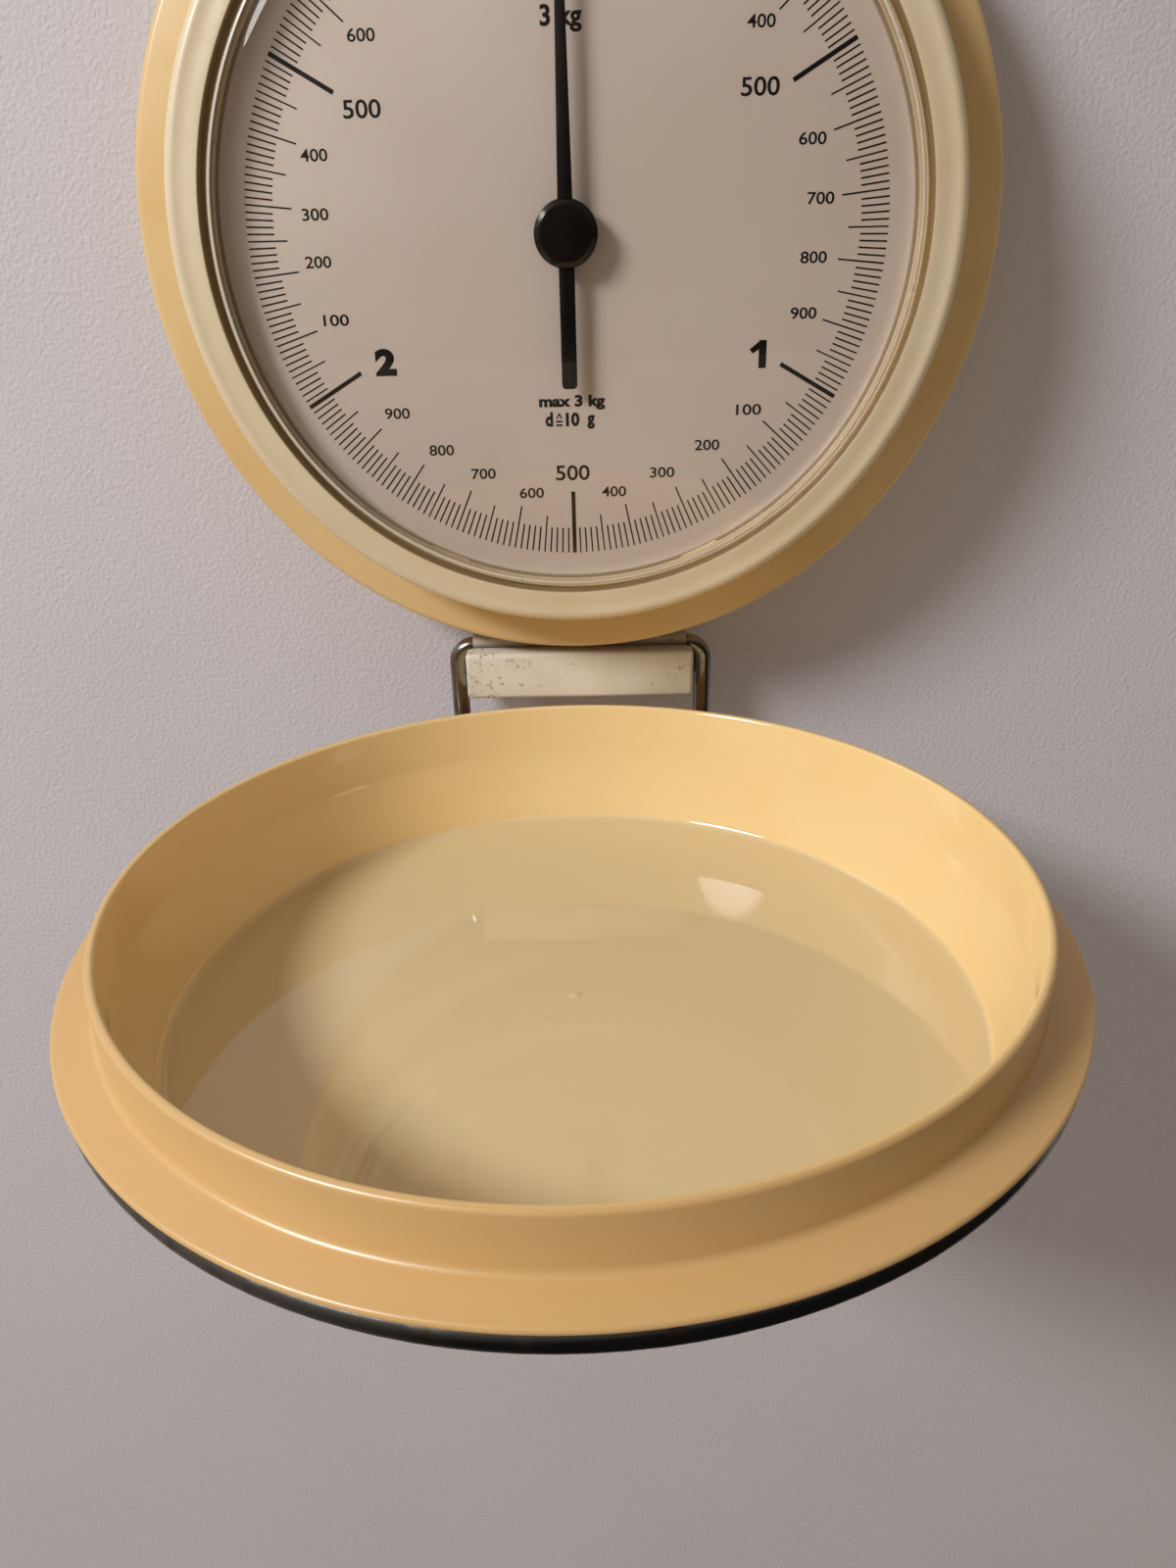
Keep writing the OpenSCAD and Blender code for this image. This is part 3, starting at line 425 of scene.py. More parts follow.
# %% Round the bar and hollow it
bar_low, bar_high = corners("front_bar")
bar_back, bar_front, bar_wall = -bar_high.y, -bar_low.y, 2.0
bar = block("rounded_bar", (bar_low.x, bar_back - 6, bar_low.z), (bar_high.x, bar_front, bar_high.z))
modify(bar, "BEVEL", width=1.2 * MM, segments=5)
edit(bar)
bpy.ops.mesh.bisect(
    plane_co=on_wall(0, bar_back, 0), plane_no=(0, -1, 0), clear_inner=True, use_fill=True
)
bpy.ops.object.mode_set(mode="OBJECT")
hollow = block(
    "hollow",
    (bar_low.x + bar_wall, bar_back - 1, bar_low.z + bar_wall),
    (bar_high.x - bar_wall, bar_front - bar_wall, bar_high.z - bar_wall),
)
print("the bar is", round(bar_high.x - bar_low.x, 1), "mm long with a wall of", bar_wall, "mm")

# %% Leave bosses for its screws, and clear the hinge
screws_low, screws_high = corners("bar_screws")
screw_z = (screws_low.z + screws_high.z) / 2
screws_x, screw_boss_r, pilot_r = (-12, 12), 3, 1.2
for x in screws_x:
    boss = rod("boss", screw_boss_r, (x, bar_back - 2, screw_z), (x, bar_front, screw_z), 48)
    join_or_cut(hollow, boss, "DIFFERENCE")
join_or_cut(bar, hollow, "DIFFERENCE")
for x in screws_x:
    pilot = rod("pilot", pilot_r, (x, bar_back - 2, screw_z), (x, bar_front - 2.5, screw_z), 32)
    join_or_cut(bar, pilot, "DIFFERENCE")
hinge_z, barrel_r, barrel_half = -(drum_r + 2.6), 4.4, 34
barrel = rod("barrel", barrel_r, (-barrel_half, hinge_h, hinge_z), (barrel_half, hinge_h, hinge_z))
join_or_cut(bar, barrel, "DIFFERENCE")
finish_mesh(bar)
stands_for(bar, "front_bar", "carriage")

# %% [markdown]
# ## The marks on the dial
# The dial is printed for one turn of 3 kg with a mark every 10 g: 300 marks in all. Each kind of mark is modelled once
# at the top, turned to its first place, and spun round the dial as copies. A row of the table gives a kind's first
# places and its step in degrees, its length as a share of the ring's radius, and its width in millimetres. The marks
# are real print, three hundredths of a millimetre thick.

# %% Spin the marks round the dial
scale_r, print_h = 75.0, 0.03
mark_kinds = [
    ("mark_10g", (1.2, 2.4, 3.6, 4.8), 6, 0.086, 0.38),
    ("mark_50g", (6,), 12, 0.125, 0.35),
    ("mark_100g", (12, 24, 36, 48), 60, 0.145, 0.38),
    ("mark_500g", (0,), 60, 0.209, 1.02),
]
marks = []
for name, starts, period, length, width in mark_kinds:
    for start in starts:
        inner_end = scale_r * (1 - length)
        mark = block(name, (-width / 2, dial_h, inner_end), (width / 2, dial_h + print_h, scale_r))
        edit(mark)
        bpy.ops.transform.rotate(value=math.radians(start), orient_axis="Y", center_override=(0, 0, 0))
        bpy.ops.mesh.spin(
            steps=360 // period - 1,
            dupli=True,
            angle=math.radians(360 - period),
            center=(0, 0, 0),
            axis=(0, 1, 0),
        )
        bpy.ops.object.mode_set(mode="OBJECT")
        marks.append(mark)
pick(*marks)
bpy.ops.object.join()
dial_marks = settle("dial_marks")
finish_mesh(dial_marks, degrees=20)
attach(dial_marks, "housing")

# %% [markdown]
# ## The numbers on the dial
# Weights stand in small upright figures along the marks, with larger ones at each half kilogram. Each number is a text
# object turned into a mesh, stretched to its own height and width, and laid on the dial. The heavier figures get their
# weight from the text's offset, which grows its outline.

# %% Turn words into print
def number(words, x, z, height, width, weight):
    """Prints words upright on the dial, centred at x and z, all in millimetres."""
    pick()
    bpy.ops.object.text_add(rotation=(math.radians(90), 0, 0))
    text = bpy.context.object
    text.data.body = words
    text.data.offset = weight
    text.data.extrude = 0.02  # any thickness does, because the mesh is stretched below
    text.data.resolution_u = 5
    pick(text)
    bpy.ops.object.convert(target="MESH")
    piece = settle("number")
    low = Vector([min(v.co[i] for v in piece.data.vertices) for i in range(3)])
    high = Vector([max(v.co[i] for v in piece.data.vertices) for i in range(3)])
    size = high - low
    edit(piece)
    bpy.ops.transform.translate(value=-(low + high) / 2)
    bpy.ops.transform.resize(
        value=(width * MM / size.x, print_h * MM / size.y, height * MM / size.z), center_override=(0, 0, 0)
    )
    bpy.ops.transform.translate(value=on_wall(x, dial_h + print_h / 2, z))
    bpy.ops.object.mode_set(mode="OBJECT")
    return piece


# %% Write the large figures and the small print
numbers = [
    number("0", 0, 53.6, 6.3, 4.6, 0.03),
    number("2", -45.1, -27.3, 6.3, 5.2, 0.06),
    number("3 kg", 0, 42.5, 5.3, 9.2, 0.03),
    number("max 3 kg", 0.3, -37.6, 3.6, 16.4, 0.045),
    number("d", -5.5, -41.5, 3.5, 1.9, 0.045),
    number("=", -3.0, -42.5, 1.3, 1.6, 0.015),
    number("^", -3.0, -40.7, 1.3, 1.6, 0.015),
    number("10", 0.35, -41.6, 3.3, 3.4, 0.045),
    number("g", 4.9, -42.3, 3.3, 1.9, 0.045),
]
print("numbers written:", len(numbers))

# %% [markdown]
# The small figures don't stand on an exact circle: the printer moved some of them a millimetre or two to keep them
# clear of the long marks, so a table holds those moves.

# %% Write the hundreds round the dial
moved = {
    4: (-0.2, 1.3), 5: (-0.7, 2.8), 8: (-0.9, 0), 11: (0, -0.5), 12: (-0.9, -0.5), 13: (-1.4, -0.8), 14: (-1.9, -1.5),
    16: (1.7, -1.5), 17: (1.4, -0.3), 18: (1.9, -0.5), 19: (0.7, 0.3), 21: (0.2, 0.8), 22: (0, 1.5), 23: (0.5, -0.8),
    24: (-0.9, -0.8), 25: (-0.5, 0.5), 26: (0, 0.8),
}
small_ring, large_ring, lowest_ring = 0.79, 0.69, 0.728  # shares of the scale ring's radius
for step in range(1, 30):
    angle, grams = math.radians(12 * step), 100 * step % 1000
    if grams:
        height, width = (3.75, 8.6) if grams == 500 else (2.6, 6.2)
        distance = scale_r * (small_ring if grams != 500 else lowest_ring if step == 15 else large_ring)
        across, up = moved.get(step, (0, 0))
        x, z = distance * math.sin(angle) + across, distance * math.cos(angle) + up
        numbers.append(number(str(grams), x, z, height, width, 0.014))
print("numbers in all:", len(numbers))

# %% [markdown]
# The heavy "1" of the first kilogram has a straight stem and a slanted flag, which the font's own figure lacks. Two
# blocks make it: the flag's left end is pulled down by its corners, and then it is joined to the stem.

# %% Build the heavy figure one
one_x, one_z, print_top = 45.8, -27.3, dial_h + print_h
stem = block("number_one", (one_x + 0.2, dial_h, one_z - 3.2), (one_x + 2.05, print_top, one_z + 3.2))
flag = block("flag", (one_x - 2.05, dial_h, one_z + 1.3), (one_x + 0.6, print_top, one_z + 3.2))
edit(flag)
choose_vertices(flag, lambda place: place.x < one_x - 1 and place.z > one_z + 2)
bpy.ops.transform.translate(value=(0, 0, -2.05 * MM))
choose_vertices(flag, lambda place: place.x < one_x - 1 and place.z > one_z + 1.2)
bpy.ops.transform.translate(value=(0.73 * MM, 0, -1.15 * MM))
bpy.ops.object.mode_set(mode="OBJECT")
join_or_cut(stem, flag, "UNION")
numbers.append(stem)
pick(*numbers)
bpy.ops.object.join()
dial_numbers = settle("dial_numbers")
finish_mesh(dial_numbers, degrees=20)
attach(dial_numbers, "housing")

# %% [markdown]
# ## The wall and the floor
# Two plain surfaces are the stage: the plastered wall that the scale hangs on, and a pale floor far below it. The wall
# is seen from the front only, so that its back doesn't hide the scale from someone looking from behind. It lies a hair
# behind the bracket, so that the two don't share a plane. The room's soft light passes through it, as if the wall
# threw that light back, and the floor stays out of reflections.

# %% Lay the stage
floor_z, stage_w, hair = -620, 6000, 0.2
pick()
bpy.ops.mesh.primitive_plane_add(
    size=stage_w * MM, location=on_wall(0, -hair, floor_z + stage_w / 2), rotation=(math.radians(90), 0, 0)
)
wall = settle("plaster_wall")
pick()
bpy.ops.mesh.primitive_plane_add(size=stage_w * MM, location=on_wall(0, 0, floor_z))
floor = settle("pale_floor")
wall.visible_shadow = False
wall.visible_diffuse = False
floor.visible_glossy = False
print("floor at", floor_z, "mm")

# %% [markdown]
# ## Light
# A soft lamp up on the left stands for the room lamp that throws every shadow down to the right. It hangs little more
# than a metre away, so that the wall grows darker toward the right.

# %% Place the lamp
lamp_way, lamp_far = Vector((-0.76, -0.69, 0.58)).normalized(), 1.3
pick()
bpy.ops.object.light_add(type="AREA", location=lamp_way * lamp_far)
lamp = bpy.context.object
lamp.name = "soft_lamp"
lamp.rotation_euler = lamp_way.to_track_quat("Z", "Y").to_euler()
lamp.data.shape = "ELLIPSE"
lamp.data.size, lamp.data.size_y = 0.46, 0.27
lamp.data.energy = 14.6
lamp.data.color = (0.95, 0.96, 1.0)
print("lamp at", [round(x, 2) for x in lamp.location], "m")

# %% [markdown]
# ## Colours and nodes
# The room's light and every finish are built from shader nodes. Colours are written as sRGB hex values, as on a paint
# chart, and one helper turns them to the linear values that shaders mix. Another adds a node with its settings and
# links.

# %% Two helpers for colours and nodes
def to_linear(colour):
    """An sRGB colour written as #RRGGBB, as the linear values that shaders use."""
    parts = [int(colour[i : i + 2], 16) / 255 for i in (1, 3, 5)]
    return [*[p / 12.92 if p <= 0.04045 else ((p + 0.055) / 1.055) ** 2.4 for p in parts], 1]


def add_node(owner, kind, output=None, sockets=None, **settings):
    """Adds a shader node and gives back one of its outputs. A socket gets a value or another node's output."""
    node = owner.node_tree.nodes.new("ShaderNode" + kind)
    for key, value in settings.items():
        setattr(node, key, value)
    for key, value in (sockets or {}).items():
        if isinstance(value, bpy.types.NodeSocket):
            owner.node_tree.links.new(value, node.inputs[key])
        else:
            node.inputs[key].default_value = value
    return None if output is None else node.outputs[output]


# %% [markdown]
# ## The room around it
# The room's light is warm. It is strongest from the upper left and from the side of the pale wall, and weakest from
# below. Reflections see a darker room than the soft light comes from, as they do where the middle of a room is unlit,
# so black lacquer stays black. Rays straight from the camera see a plain pale grey.

# %% Light the room
world = bpy.data.worlds.new("plain_room")
bpy.context.scene.world = world
world.use_nodes = True
world.node_tree.nodes.clear()
way = add_node(world, "TexCoord", "Generated")
toward = add_node(world, "VectorMath", "Value", {0: way, 1: (-0.45, 0.6, 0.5)}, operation="DOT_PRODUCT")
lit = add_node(world, "MapRange", "Result", {"Value": toward, "From Min": -0.6, "From Max": 0.9})
tones = {0: lit, 6: to_linear("#EEE4DA"), 7: to_linear("#F4DFC2")}
warmth = add_node(world, "Mix", 2, tones, data_type="RGBA")
soft = add_node(world, "MapRange", "Result", {"Value": lit, "To Min": 0.26, "To Max": 0.46})
fill = add_node(world, "Background", 0, {"Color": warmth, "Strength": soft})
dim = add_node(world, "MapRange", "Result", {"Value": lit, "To Min": 0.015, "To Max": 0.5})
mirrored = add_node(world, "Background", 0, {"Color": warmth, "Strength": dim})
seen = add_node(world, "Background", 0, {"Color": to_linear("#DAD6D2"), "Strength": 1.0})
glossy, direct = (add_node(world, "LightPath", "Is " + kind + " Ray") for kind in ("Glossy", "Camera"))
room = add_node(world, "MixShader", 0, {0: glossy, 1: fill, 2: mirrored})
room = add_node(world, "MixShader", 0, {0: direct, 1: room, 2: seen})
add_node(world, "OutputWorld", None, {0: room})
print("world nodes:", len(world.node_tree.nodes))
bpy.context.scene.view_settings.view_transform = "Standard"

# %% [markdown]
# ## Materials
# Each material is one Principled shader with patterns fed into its colour, roughness and bump. Patterns read Object
# coordinates, which are metres here, so a helper turns the size of one feature in millimetres into a texture's scale.

# %% Start and end a material
def per_mm(size):
    """The texture scale at which one feature is about this many millimetres wide."""
    return 1000 / size


def blank_material(name):
    """A material with no nodes yet, and the Object coordinates that its patterns start from."""
    material = bpy.data.materials.new(name)
    material.use_nodes = True
    material.node_tree.nodes.clear()
    return material, add_node(material, "TexCoord", "Object")


def dress(material, surface, *pieces):
    """Ends a material in its surface, and gives it to pieces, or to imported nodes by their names."""
    add_node(material, "OutputMaterial", None, {"Surface": surface})
    for piece in pieces:
        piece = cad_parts[piece] if isinstance(piece, str) else piece
        piece.data.materials.clear()
        piece.data.materials.append(material)
    print(f"{material.name}: {len(material.node_tree.nodes)} nodes, pieces dressed: {len(pieces)}")


# %% [markdown]
# Four recipes come back in nearly every finish: patches of noise, a colour that drifts over such patches, a fine
# relief, and the distance from an axis, by which a turned moulding's colour changes in rings, for grime and for
# painted shade.

# %% Recipes that the materials share
def patches(material, place, size, detail, low, high, bottom=0.0, top=1.0):
    """Soft patches of this size in mm: the noise from low to high is stretched to go from bottom to top."""
    noise = add_node(material, "TexNoise", 0, {"Vector": place, "Scale": per_mm(size), "Detail": detail})
    ends = {"From Min": low, "From Max": high, "To Min": bottom, "To Max": top}
    return add_node(material, "MapRange", 0, {"Value": noise, **ends})


def drifting(material, place, size, detail, low, high, tone, other):
    """A colour that drifts from one tone to another over patches."""
    drift = patches(material, place, size, detail, low, high)
    return add_node(material, "Mix", 2, {0: drift, 6: to_linear(tone), 7: to_linear(other)}, data_type="RGBA")


def fine_relief(material, place, size, detail, depth):
    """Bumps of this size and depth, both in millimetres."""
    noise = add_node(material, "TexNoise", 0, {"Vector": place, "Scale": per_mm(size), "Detail": detail})
    return add_node(material, "Bump", 0, {"Height": noise, "Distance": depth * MM})


def from_axis(material, place, across, centre=(0, 0, 0)):
    """Distance in metres from an axis through centre. The directions that count are 1 in across."""
    centred = add_node(material, "VectorMath", 0, {0: place, 1: centre}, operation="SUBTRACT")
    flat = add_node(material, "VectorMath", 0, {0: centred, 1: across}, operation="MULTIPLY")
    return add_node(material, "VectorMath", "Value", {0: flat}, operation="LENGTH")


# %% [markdown]
# ### Yellowed ABS
# The drum is ABS moulded in a polished tool: satin to glossy, with a little yellow drift where it has aged, and a
# very fine relief left by the tool. Small scuffs change the gloss more than the colour.

# %% Yellowed ABS for the drum
abs_plastic, place = blank_material("yellowed_ABS")
skin = {
    "Base Color": drifting(abs_plastic, place, 45, 3.0, 0.35, 0.7, "#DDBE88", "#D6B377"),
    "Roughness": patches(abs_plastic, place, 9, 6.0, 0.35, 0.7, 0.3, 0.42),
    "Normal": fine_relief(abs_plastic, place, 0.8, 2.0, 0.004),
    "IOR": 1.52,
}
dress(abs_plastic, add_node(abs_plastic, "BsdfPrincipled", 0, skin), drum)

# %% [markdown]
# ### Glossy polystyrene
# The bowl is a polished moulding in polystyrene, glossy enough to mirror its own walls in the floor. The floor is
# given a darker, greyer yellow, and the outside and the flange a deeper and duller yellow: both are painted shade,
# so that they sit darker than the lit inner walls. So the colour goes by height for the floor, and by distance from
# the bowl's axis for the outside. Light soaks a little way into this plastic and comes out redder. Fine scuffs dull
# it, and no moulding is quite flat, so reflections wave.

# %% Colours of the polystyrene
bowl_plastic, place = blank_material("glossy_polystyrene")
colour = drifting(bowl_plastic, place, 60, 3.0, 0.3, 0.7, "#F4D8A0", "#F1D092")
height = add_node(bowl_plastic, "SeparateXYZ", "Z", {0: place})
floor_level = bowl_axis.z - bowl_depth
# The floor's darker, greyer tint is painted shade.
floor_shade = {"Value": height, "From Min": (floor_level + 1.2) * MM, "From Max": (floor_level + 0.2) * MM}
floor_shade = add_node(bowl_plastic, "MapRange", 0, floor_shade)
distance = from_axis(bowl_plastic, place, (1, 1, 0), bowl_axis * MM)
# The outside and the flange get a deeper, duller tint, which is painted shade; the same mask also makes them rougher.
outside = {"Value": distance, "From Min": (rim_r - 1.6) * MM, "From Max": (rim_r - 0.6) * MM}
outside = add_node(bowl_plastic, "MapRange", 0, outside)
# DDC89B is the floor's painted shade, and #D6AE72 the outside's painted shade.
for mask, tint in ((floor_shade, "#DDC89B"), (outside, "#D6AE72")):
    colour = add_node(bowl_plastic, "Mix", 2, {0: mask, 6: colour, 7: to_linear(tint)}, data_type="RGBA")
print("the bowl's outside starts", rim_r - 1.1, "mm from its axis")

# %% Gloss and depth of the polystyrene
wiping = patches(bowl_plastic, place, 2.5, 8.0, 0.58, 0.72, 0.05, 0.13)
gloss = add_node(bowl_plastic, "Math", 0, {0: outside, 1: 0.28, 2: wiping}, operation="MULTIPLY_ADD")
waves = fine_relief(bowl_plastic, place, 38, 1.0, 0.05)
skin = {"Base Color": colour, "Roughness": gloss, "Normal": waves, "IOR": 1.59, "Specular IOR Level": 0.6}
soaking = {"Subsurface Weight": 0.12, "Subsurface Radius": (1.0, 0.6, 0.2), "Subsurface Scale": 2 * MM}
dress(bowl_plastic, add_node(bowl_plastic, "BsdfPrincipled", 0, {**skin, **soaking}), bowl)

# %% [markdown]
# ### Cream ABS
# The bezel was once white and has turned cream. In the narrow groove where it meets the lens it is brown, for grime
# and as painted shade in the groove, so the colour follows two measures, the distance from the dial's axis and the
# depth: brown in the groove, clean outside it and further back, where the bezel's wall is seen through the lens.

# %% Cream ABS for the bezel and the zero knob
cream_plastic, place = blank_material("cream_ABS")
clean = drifting(cream_plastic, place, 30, 3.0, 0.3, 0.7, "#DFCEAE", "#D7C39E")
distance = from_axis(cream_plastic, place, (1, 0, 1))
groove_grime_and_shade = {"Value": distance, "From Min": (bore_r + 0.1) * MM, "From Max": (bore_r + 0.45) * MM}
groove_grime_and_shade = add_node(cream_plastic, "MapRange", 0, groove_grime_and_shade)
depth = add_node(cream_plastic, "SeparateXYZ", "Y", {0: place})
depth = {"Value": depth, "From Min": (0.6 - catch_h) * MM, "From Max": (3.2 - catch_h) * MM}
depth = add_node(cream_plastic, "MapRange", 0, depth)
groove_grime_and_shade = add_node(cream_plastic, "Math", 0, {0: groove_grime_and_shade, 1: depth}, operation="MAXIMUM")
# Brown #7C6238 in the groove is grime and painted shade.
tones = {0: groove_grime_and_shade, 6: to_linear("#7C6238"), 7: clean}
skin = {
    "Base Color": add_node(cream_plastic, "Mix", 2, tones, data_type="RGBA"),
    "Roughness": patches(cream_plastic, place, 6, 6.0, 0.35, 0.7, 0.28, 0.42),
    "Normal": fine_relief(cream_plastic, place, 0.8, 2.0, 0.004),
    "IOR": 1.52,
}
dress(cream_plastic, add_node(cream_plastic, "BsdfPrincipled", 0, skin), bezel, "zero_knob")

# %% [markdown]
# ### Clear acrylic
# The lens bends light at both faces, and smudges dull it a little. Its shadow would be black in a path tracer, so rays
# that look for lamps or carry bounced light pass straight through it: a transparent shader is mixed in for those. The
# turned corner of its rim gets a pale cream, partly clear finish: a painted highlight, which shows as a bright line
# all round.

# %% Clear acrylic for the lens
acrylic, place = blank_material("clear_acrylic")
smudges = patches(acrylic, place, 40, 1.0, 0.4, 0.8, 0.0, 0.03)
skin = {"Base Color": to_linear("#FBF9F5"), "Roughness": smudges, "IOR": 1.49, "Transmission Weight": 1.0}
glass = add_node(acrylic, "BsdfPrincipled", 0, skin)
shadow, bounced = (add_node(acrylic, "LightPath", "Is " + kind + " Ray") for kind in ("Shadow", "Diffuse"))
straight = add_node(acrylic, "Math", 0, {0: shadow, 1: bounced}, operation="MAXIMUM")
open_way = add_node(acrylic, "BsdfTransparent", 0, {"Color": to_linear("#FDFCF8")})
dress(acrylic, add_node(acrylic, "MixShader", 0, {0: straight, 1: glass, 2: open_way}), lens)

# %% Painted highlight for the lens's corner
painted_highlight, place = blank_material("lens_edge_painted_highlight")
wear = patches(painted_highlight, place, 12, 2.0, 0.3, 0.7, 0.25, 0.4)
# The corner's pale cream colour is a painted highlight.
skin = {"Base Color": to_linear("#EDE2CC"), "Roughness": wear, "IOR": 1.49, "Transmission Weight": 0.35}
edge = add_node(painted_highlight, "BsdfPrincipled", 0, skin)
add_node(painted_highlight, "OutputMaterial", None, {"Surface": edge})
lens.data.materials.append(painted_highlight)
corner_from, corner_above = (lens_r - corner_r - 0.02) * MM, (lens_top - corner_r - 0.1) * MM
corner = [face for face in lens.data.polygons if math.hypot(face.center.x, face.center.z) > corner_from]
corner = [face for face in corner if -face.center.y > corner_above]
for face in corner:
    face.material_index = 1
print("faces on the lens's scuffed corner:", len(corner))

# %% [markdown]
# ### Satin aluminium dial and black ink
# The dial is thin aluminium sheet with a satin finish, lacquered, so it reads as a warm pale grey with a soft sheen.
# Under the groove it is brown, for grime and as painted shade in the groove. The print on it is a dense black ink.

# %% Dial sheet
dial_sheet, place = blank_material("satin_aluminium")
clean = drifting(dial_sheet, place, 50, 2.0, 0.3, 0.7, "#D6C8C2", "#CFC0B9")
distance = from_axis(dial_sheet, place, (1, 0, 1))
groove_grime_and_shade = {"Value": distance, "From Min": lens_r * MM, "From Max": (lens_r + 0.4) * MM}
groove_grime_and_shade = add_node(dial_sheet, "MapRange", 0, groove_grime_and_shade)
# Brown #6B5629 under the groove is grime and painted shade.
tones = {0: groove_grime_and_shade, 6: clean, 7: to_linear("#6B5629")}
skin = {
    "Base Color": add_node(dial_sheet, "Mix", 2, tones, data_type="RGBA"),
    "Roughness": 0.42,
    "Metallic": 0.2,
    "Normal": fine_relief(dial_sheet, place, 0.35, 2.0, 0.002),
}
dress(dial_sheet, add_node(dial_sheet, "BsdfPrincipled", 0, skin), "dial_plate")

# %% Printing ink
ink, place = blank_material("black_ink")
density = drifting(ink, place, 0.5, 3.0, 0, 1, "#0A0808", "#120E0D")
skin = {"Base Color": density, "Roughness": 0.6, "Specular IOR Level": 0.12}
dress(ink, add_node(ink, "BsdfPrincipled", 0, skin), dial_marks, dial_numbers)

# %% [markdown]
# ### Black lacquered sheet
# The pointer is stamped steel with black lacquer, flat and fairly glossy, with fine wear in its gloss.

# %% Black lacquer for the pointer
lacquer, place = blank_material("black_lacquer")
dusty = drifting(lacquer, place, 0.6, 8.0, 0.66, 0.76, "#100B0A", "#2A2320")
wear = patches(lacquer, place, 8, 3.0, 0.3, 0.7, 0.13, 0.2)
surface = add_node(lacquer, "BsdfPrincipled", 0, {"Base Color": dusty, "Roughness": wear})
dress(lacquer, surface, pointer, "pointer_cap")

# %% [markdown]
# ### Stained cream moulding, with painted shade
# Brown specks gather near the bar's ends, where fingers leave them. The right part of the bar and the plate is
# darkened by a painted shadow, and the plate above the bar is darkened by painted shade under the drum, over some
# grime, most of all in the seam along the bar's top edge. Each of the three marks is a mask between 0 and 1, and at
# the end they are laid over the cream one after another. The specks are the peaks of a fine noise, of which a coarser
# one keeps only some.

# %% Masks for the stains and the painted shade
specked_and_shaded, place = blank_material("cream_with_specks_and_shade")
colour = drifting(specked_and_shaded, place, 18, 4.0, 0.35, 0.7, "#E0D8C8", "#D2C7B0")
sides, level = (add_node(specked_and_shaded, "SeparateXYZ", axis, {0: place}) for axis in "XZ")
# The right part darkens towards #A5916F: a painted shadow.
painted_shadow_right = {"Value": sides, "From Min": 6 * MM, "From Max": 26 * MM, "To Max": 0.45}
painted_shadow_right = add_node(specked_and_shaded, "MapRange", 0, painted_shadow_right)
sides = add_node(specked_and_shaded, "Math", 0, {0: sides, 1: 6 * MM}, operation="SUBTRACT")
sides = add_node(specked_and_shaded, "Math", 0, {0: sides}, operation="ABSOLUTE")
ends = {"Value": sides, "From Min": 10 * MM, "From Max": 36 * MM, "To Min": -0.12, "To Max": 0.1}
ends = add_node(specked_and_shaded, "MapRange", 0, ends)
coarse = patches(specked_and_shaded, place, 5, 4.0, 0, 1)
coarse = add_node(specked_and_shaded, "Math", 0, {0: coarse, 1: ends}, operation="ADD")
kept = add_node(specked_and_shaded, "MapRange", 0, {"Value": coarse, "From Min": 0.5, "From Max": 0.6})
specks = patches(specked_and_shaded, place, 1.1, 5.0, 0.56, 0.66, 0.0, 0.75)
specks = add_node(specked_and_shaded, "Math", 0, {0: specks, 1: kept}, operation="MULTIPLY")
# The plate above the bar's top darkens, most in the seam: painted shade under the drum, over some grime.
grime_and_shade_seam = {"Value": level, "From Min": (bar_high.z + 2.0) * MM, "From Max": (bar_high.z + 0.3) * MM, "To Min": 0.1}
grime_and_shade_seam = add_node(specked_and_shaded, "MapRange", 0, grime_and_shade_seam)
above = add_node(specked_and_shaded, "Math", 0, {0: level, 1: (bar_high.z + 0.05) * MM}, operation="GREATER_THAN")
grime_and_shade_seam = add_node(specked_and_shaded, "Math", 0, {0: grime_and_shade_seam, 1: above}, operation="MULTIPLY")
print("the seam lies along the bar's top, at", round(bar_high.z, 1), "mm")

# %% Stained cream, with painted shade, for the bar and the carriage
# A5916F is the painted shadow on the right, #7A5A36 the brown specks, and #5E5240 the painted shade and grime in the
# seam.
for mask, tint in ((painted_shadow_right, "#A5916F"), (specks, "#7A5A36"), (grime_and_shade_seam, "#5E5240")):
    colour = add_node(specked_and_shaded, "Mix", 2, {0: mask, 6: colour, 7: to_linear(tint)}, data_type="RGBA")
relief = fine_relief(specked_and_shaded, place, 1.0, 3.0, 0.01)
skin = {"Base Color": colour, "Roughness": 0.42, "Normal": relief, "IOR": 1.5}
dress(specked_and_shaded, add_node(specked_and_shaded, "BsdfPrincipled", 0, skin), bar, "carriage_plate")

# %% [markdown]
# ### Tarnished chrome wire
# The frame is thick steel wire with a thin bright plating. Kitchen grease and damp have worn it to brown stains, so a
# stain pattern, drawn out along the wire's legs, mixes in a dull brown.

# %% Chrome wire
chrome, place = blank_material("tarnished_chrome")
along = add_node(chrome, "Mapping", 0, {"Vector": place, "Scale": (1, 1, 0.35)})
stain = patches(chrome, along, 7, 5.0, 0.54, 0.7)
tones = {0: stain, 6: to_linear("#96938F"), 7: to_linear("#5A4732")}
skin = {
    "Base Color": add_node(chrome, "Mix", 2, tones, data_type="RGBA"),
    "Roughness": add_node(chrome, "MapRange", 0, {"Value": stain, "To Min": 0.2, "To Max": 0.45}),
    "Metallic": 1.0,
    "Normal": fine_relief(chrome, place, 1.0, 4.0, 0.008),
}
dress(chrome, add_node(chrome, "BsdfPrincipled", 0, skin), "pan_frame")

# %% [markdown]
# ### Steels and brass of the mechanism
# The bracket and chassis are zinc plated sheet, which shows a fine spangle. Screws and pins are bright turned steel,
# springs are darker oiled wire, and the rack, the pinion and the zero screw are brass. All four differ only in colour
# and in the size of their patches, so one function makes them.

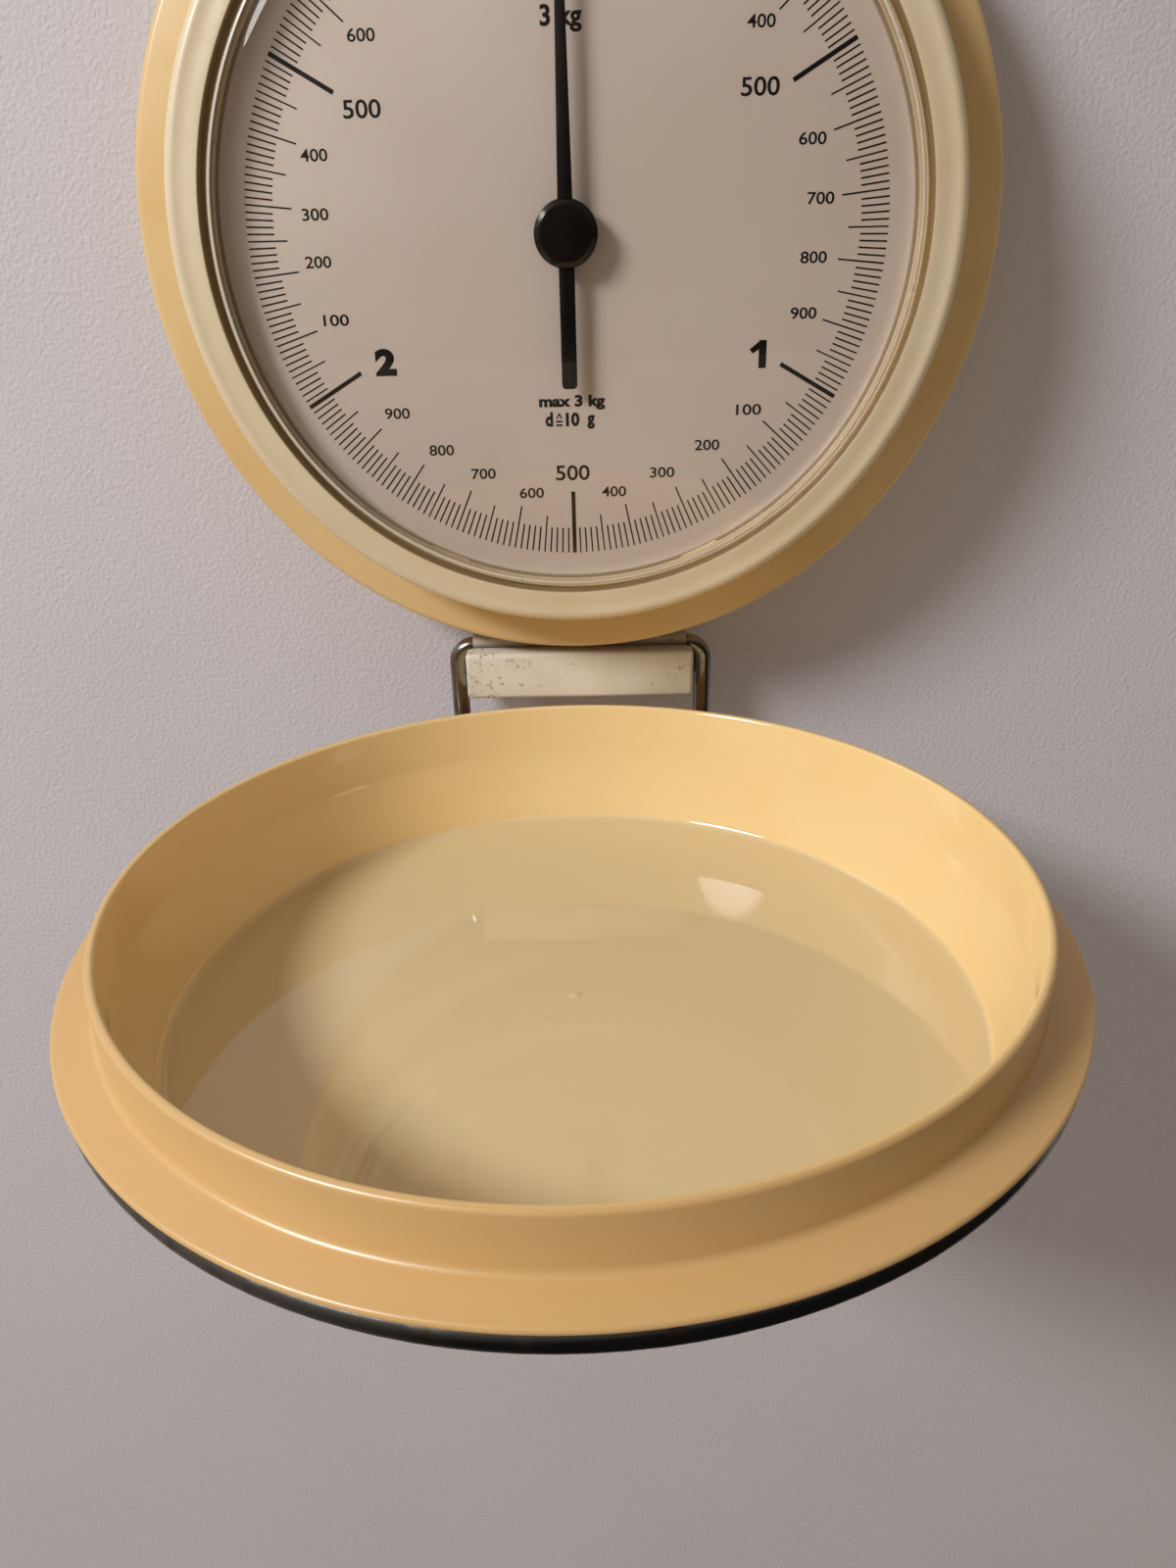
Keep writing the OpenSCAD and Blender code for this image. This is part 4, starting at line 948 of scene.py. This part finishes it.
# %% Metals
def metal(name, bright, dull, size, shiny, worn, *pieces):
    """Dresses pieces in a metal whose colour and roughness drift over patches of this size in millimetres."""
    made, place = blank_material(name)
    wear = patches(made, place, size, 5.0, 0.35, 0.7)
    tones = {0: wear, 6: to_linear(bright), 7: to_linear(dull)}
    skin = {
        "Base Color": add_node(made, "Mix", 2, tones, data_type="RGBA"),
        "Roughness": add_node(made, "MapRange", 0, {"Value": wear, "To Min": shiny, "To Max": worn}),
        "Metallic": 1.0,
        "Normal": fine_relief(made, place, 0.5, 2.0, 0.004),
    }
    dress(made, add_node(made, "BsdfPrincipled", 0, skin), *pieces)


sheet = ("wall_bracket", "chassis_plate", "front_bridge", "spring_yoke", "upper_arm", "lower_arm")
screws = ("bridge_screws", "chassis_screws", "cover_screws", "bar_screws")
pins = ("arm_pivot_pins", "arm_slide_pins", "rack_rivets", "pinion_shaft")
turned_brass = ("rack", "pinion", "zero_screw", "rear_bush", "front_bush", "bridge_standoffs")
metal("zinc_plated_sheet", "#B9BCBD", "#9EA1A3", 6, 0.28, 0.46, *sheet)
metal("bright_turned_steel", "#C2C3C4", "#A6A8AA", 2, 0.2, 0.34, *screws, *pins)
metal("oiled_spring_steel", "#8E8C88", "#6A6763", 1.5, 0.25, 0.42, "spring_left", "spring_right")
metal("satin_brass", "#C9A65C", "#A98543", 3, 0.26, 0.42, *turned_brass)

# %% [markdown]
# ### Plain mouldings inside and behind
# The guide pads are slippery white acetal, milky and smooth. The back cover is dark grey polypropylene with the fine
# grain of an etched mould, which hides scratches on a face that nobody sees.

# %% Acetal for the guide pads
acetal, place = blank_material("white_acetal")
milky = drifting(acetal, place, 2, 4.0, 0, 1, "#E6E4DE", "#DCD9D0")
wear = patches(acetal, place, 2, 4.0, 0.3, 0.7, 0.32, 0.5)
skin = {"Base Color": milky, "Roughness": wear, "IOR": 1.48}
dress(acetal, add_node(acetal, "BsdfPrincipled", 0, skin), "guide_pads")

# %% Grained polypropylene for the back cover
grained, place = blank_material("grained_grey_polypropylene")
grey = drifting(grained, place, 12, 4.0, 0, 1, "#6C6963", "#5C5954")
relief = fine_relief(grained, place, 0.9, 3.0, 0.03)
skin = {"Base Color": grey, "Roughness": 0.55, "Normal": relief, "IOR": 1.49}
dress(grained, add_node(grained, "BsdfPrincipled", 0, skin), "rear_cover")

# %% [markdown]
# ### Painted plaster and a pale floor
# The wall is plaster under a rolled coat of paint, which dries with the skin of an orange: soft bumps about a
# millimetre apart. From behind it is transparent. The floor is plain matt paint.

# %% Plaster for the wall
plaster, place = blank_material("rolled_plaster")
coat = drifting(plaster, place, 80, 3.0, 0, 1, "#CCC6C8", "#C5BFC1")
skin = {"Base Color": coat, "Roughness": 0.75, "Normal": fine_relief(plaster, place, 1.2, 4.0, 0.36)}
painted = add_node(plaster, "BsdfPrincipled", 0, skin)
behind = add_node(plaster, "NewGeometry", "Backfacing")
clear = add_node(plaster, "BsdfTransparent", 0)
dress(plaster, add_node(plaster, "MixShader", 0, {0: behind, 1: painted, 2: clear}), wall)

# %% Paint for the floor
floor_paint, place = blank_material("pale_floor_paint")
relief = fine_relief(floor_paint, place, 4, 3.0, 0.1)
skin = {"Base Color": to_linear("#DDD8D2"), "Roughness": 0.7, "Normal": relief}
dress(floor_paint, add_node(floor_paint, "BsdfPrincipled", 0, skin), floor)
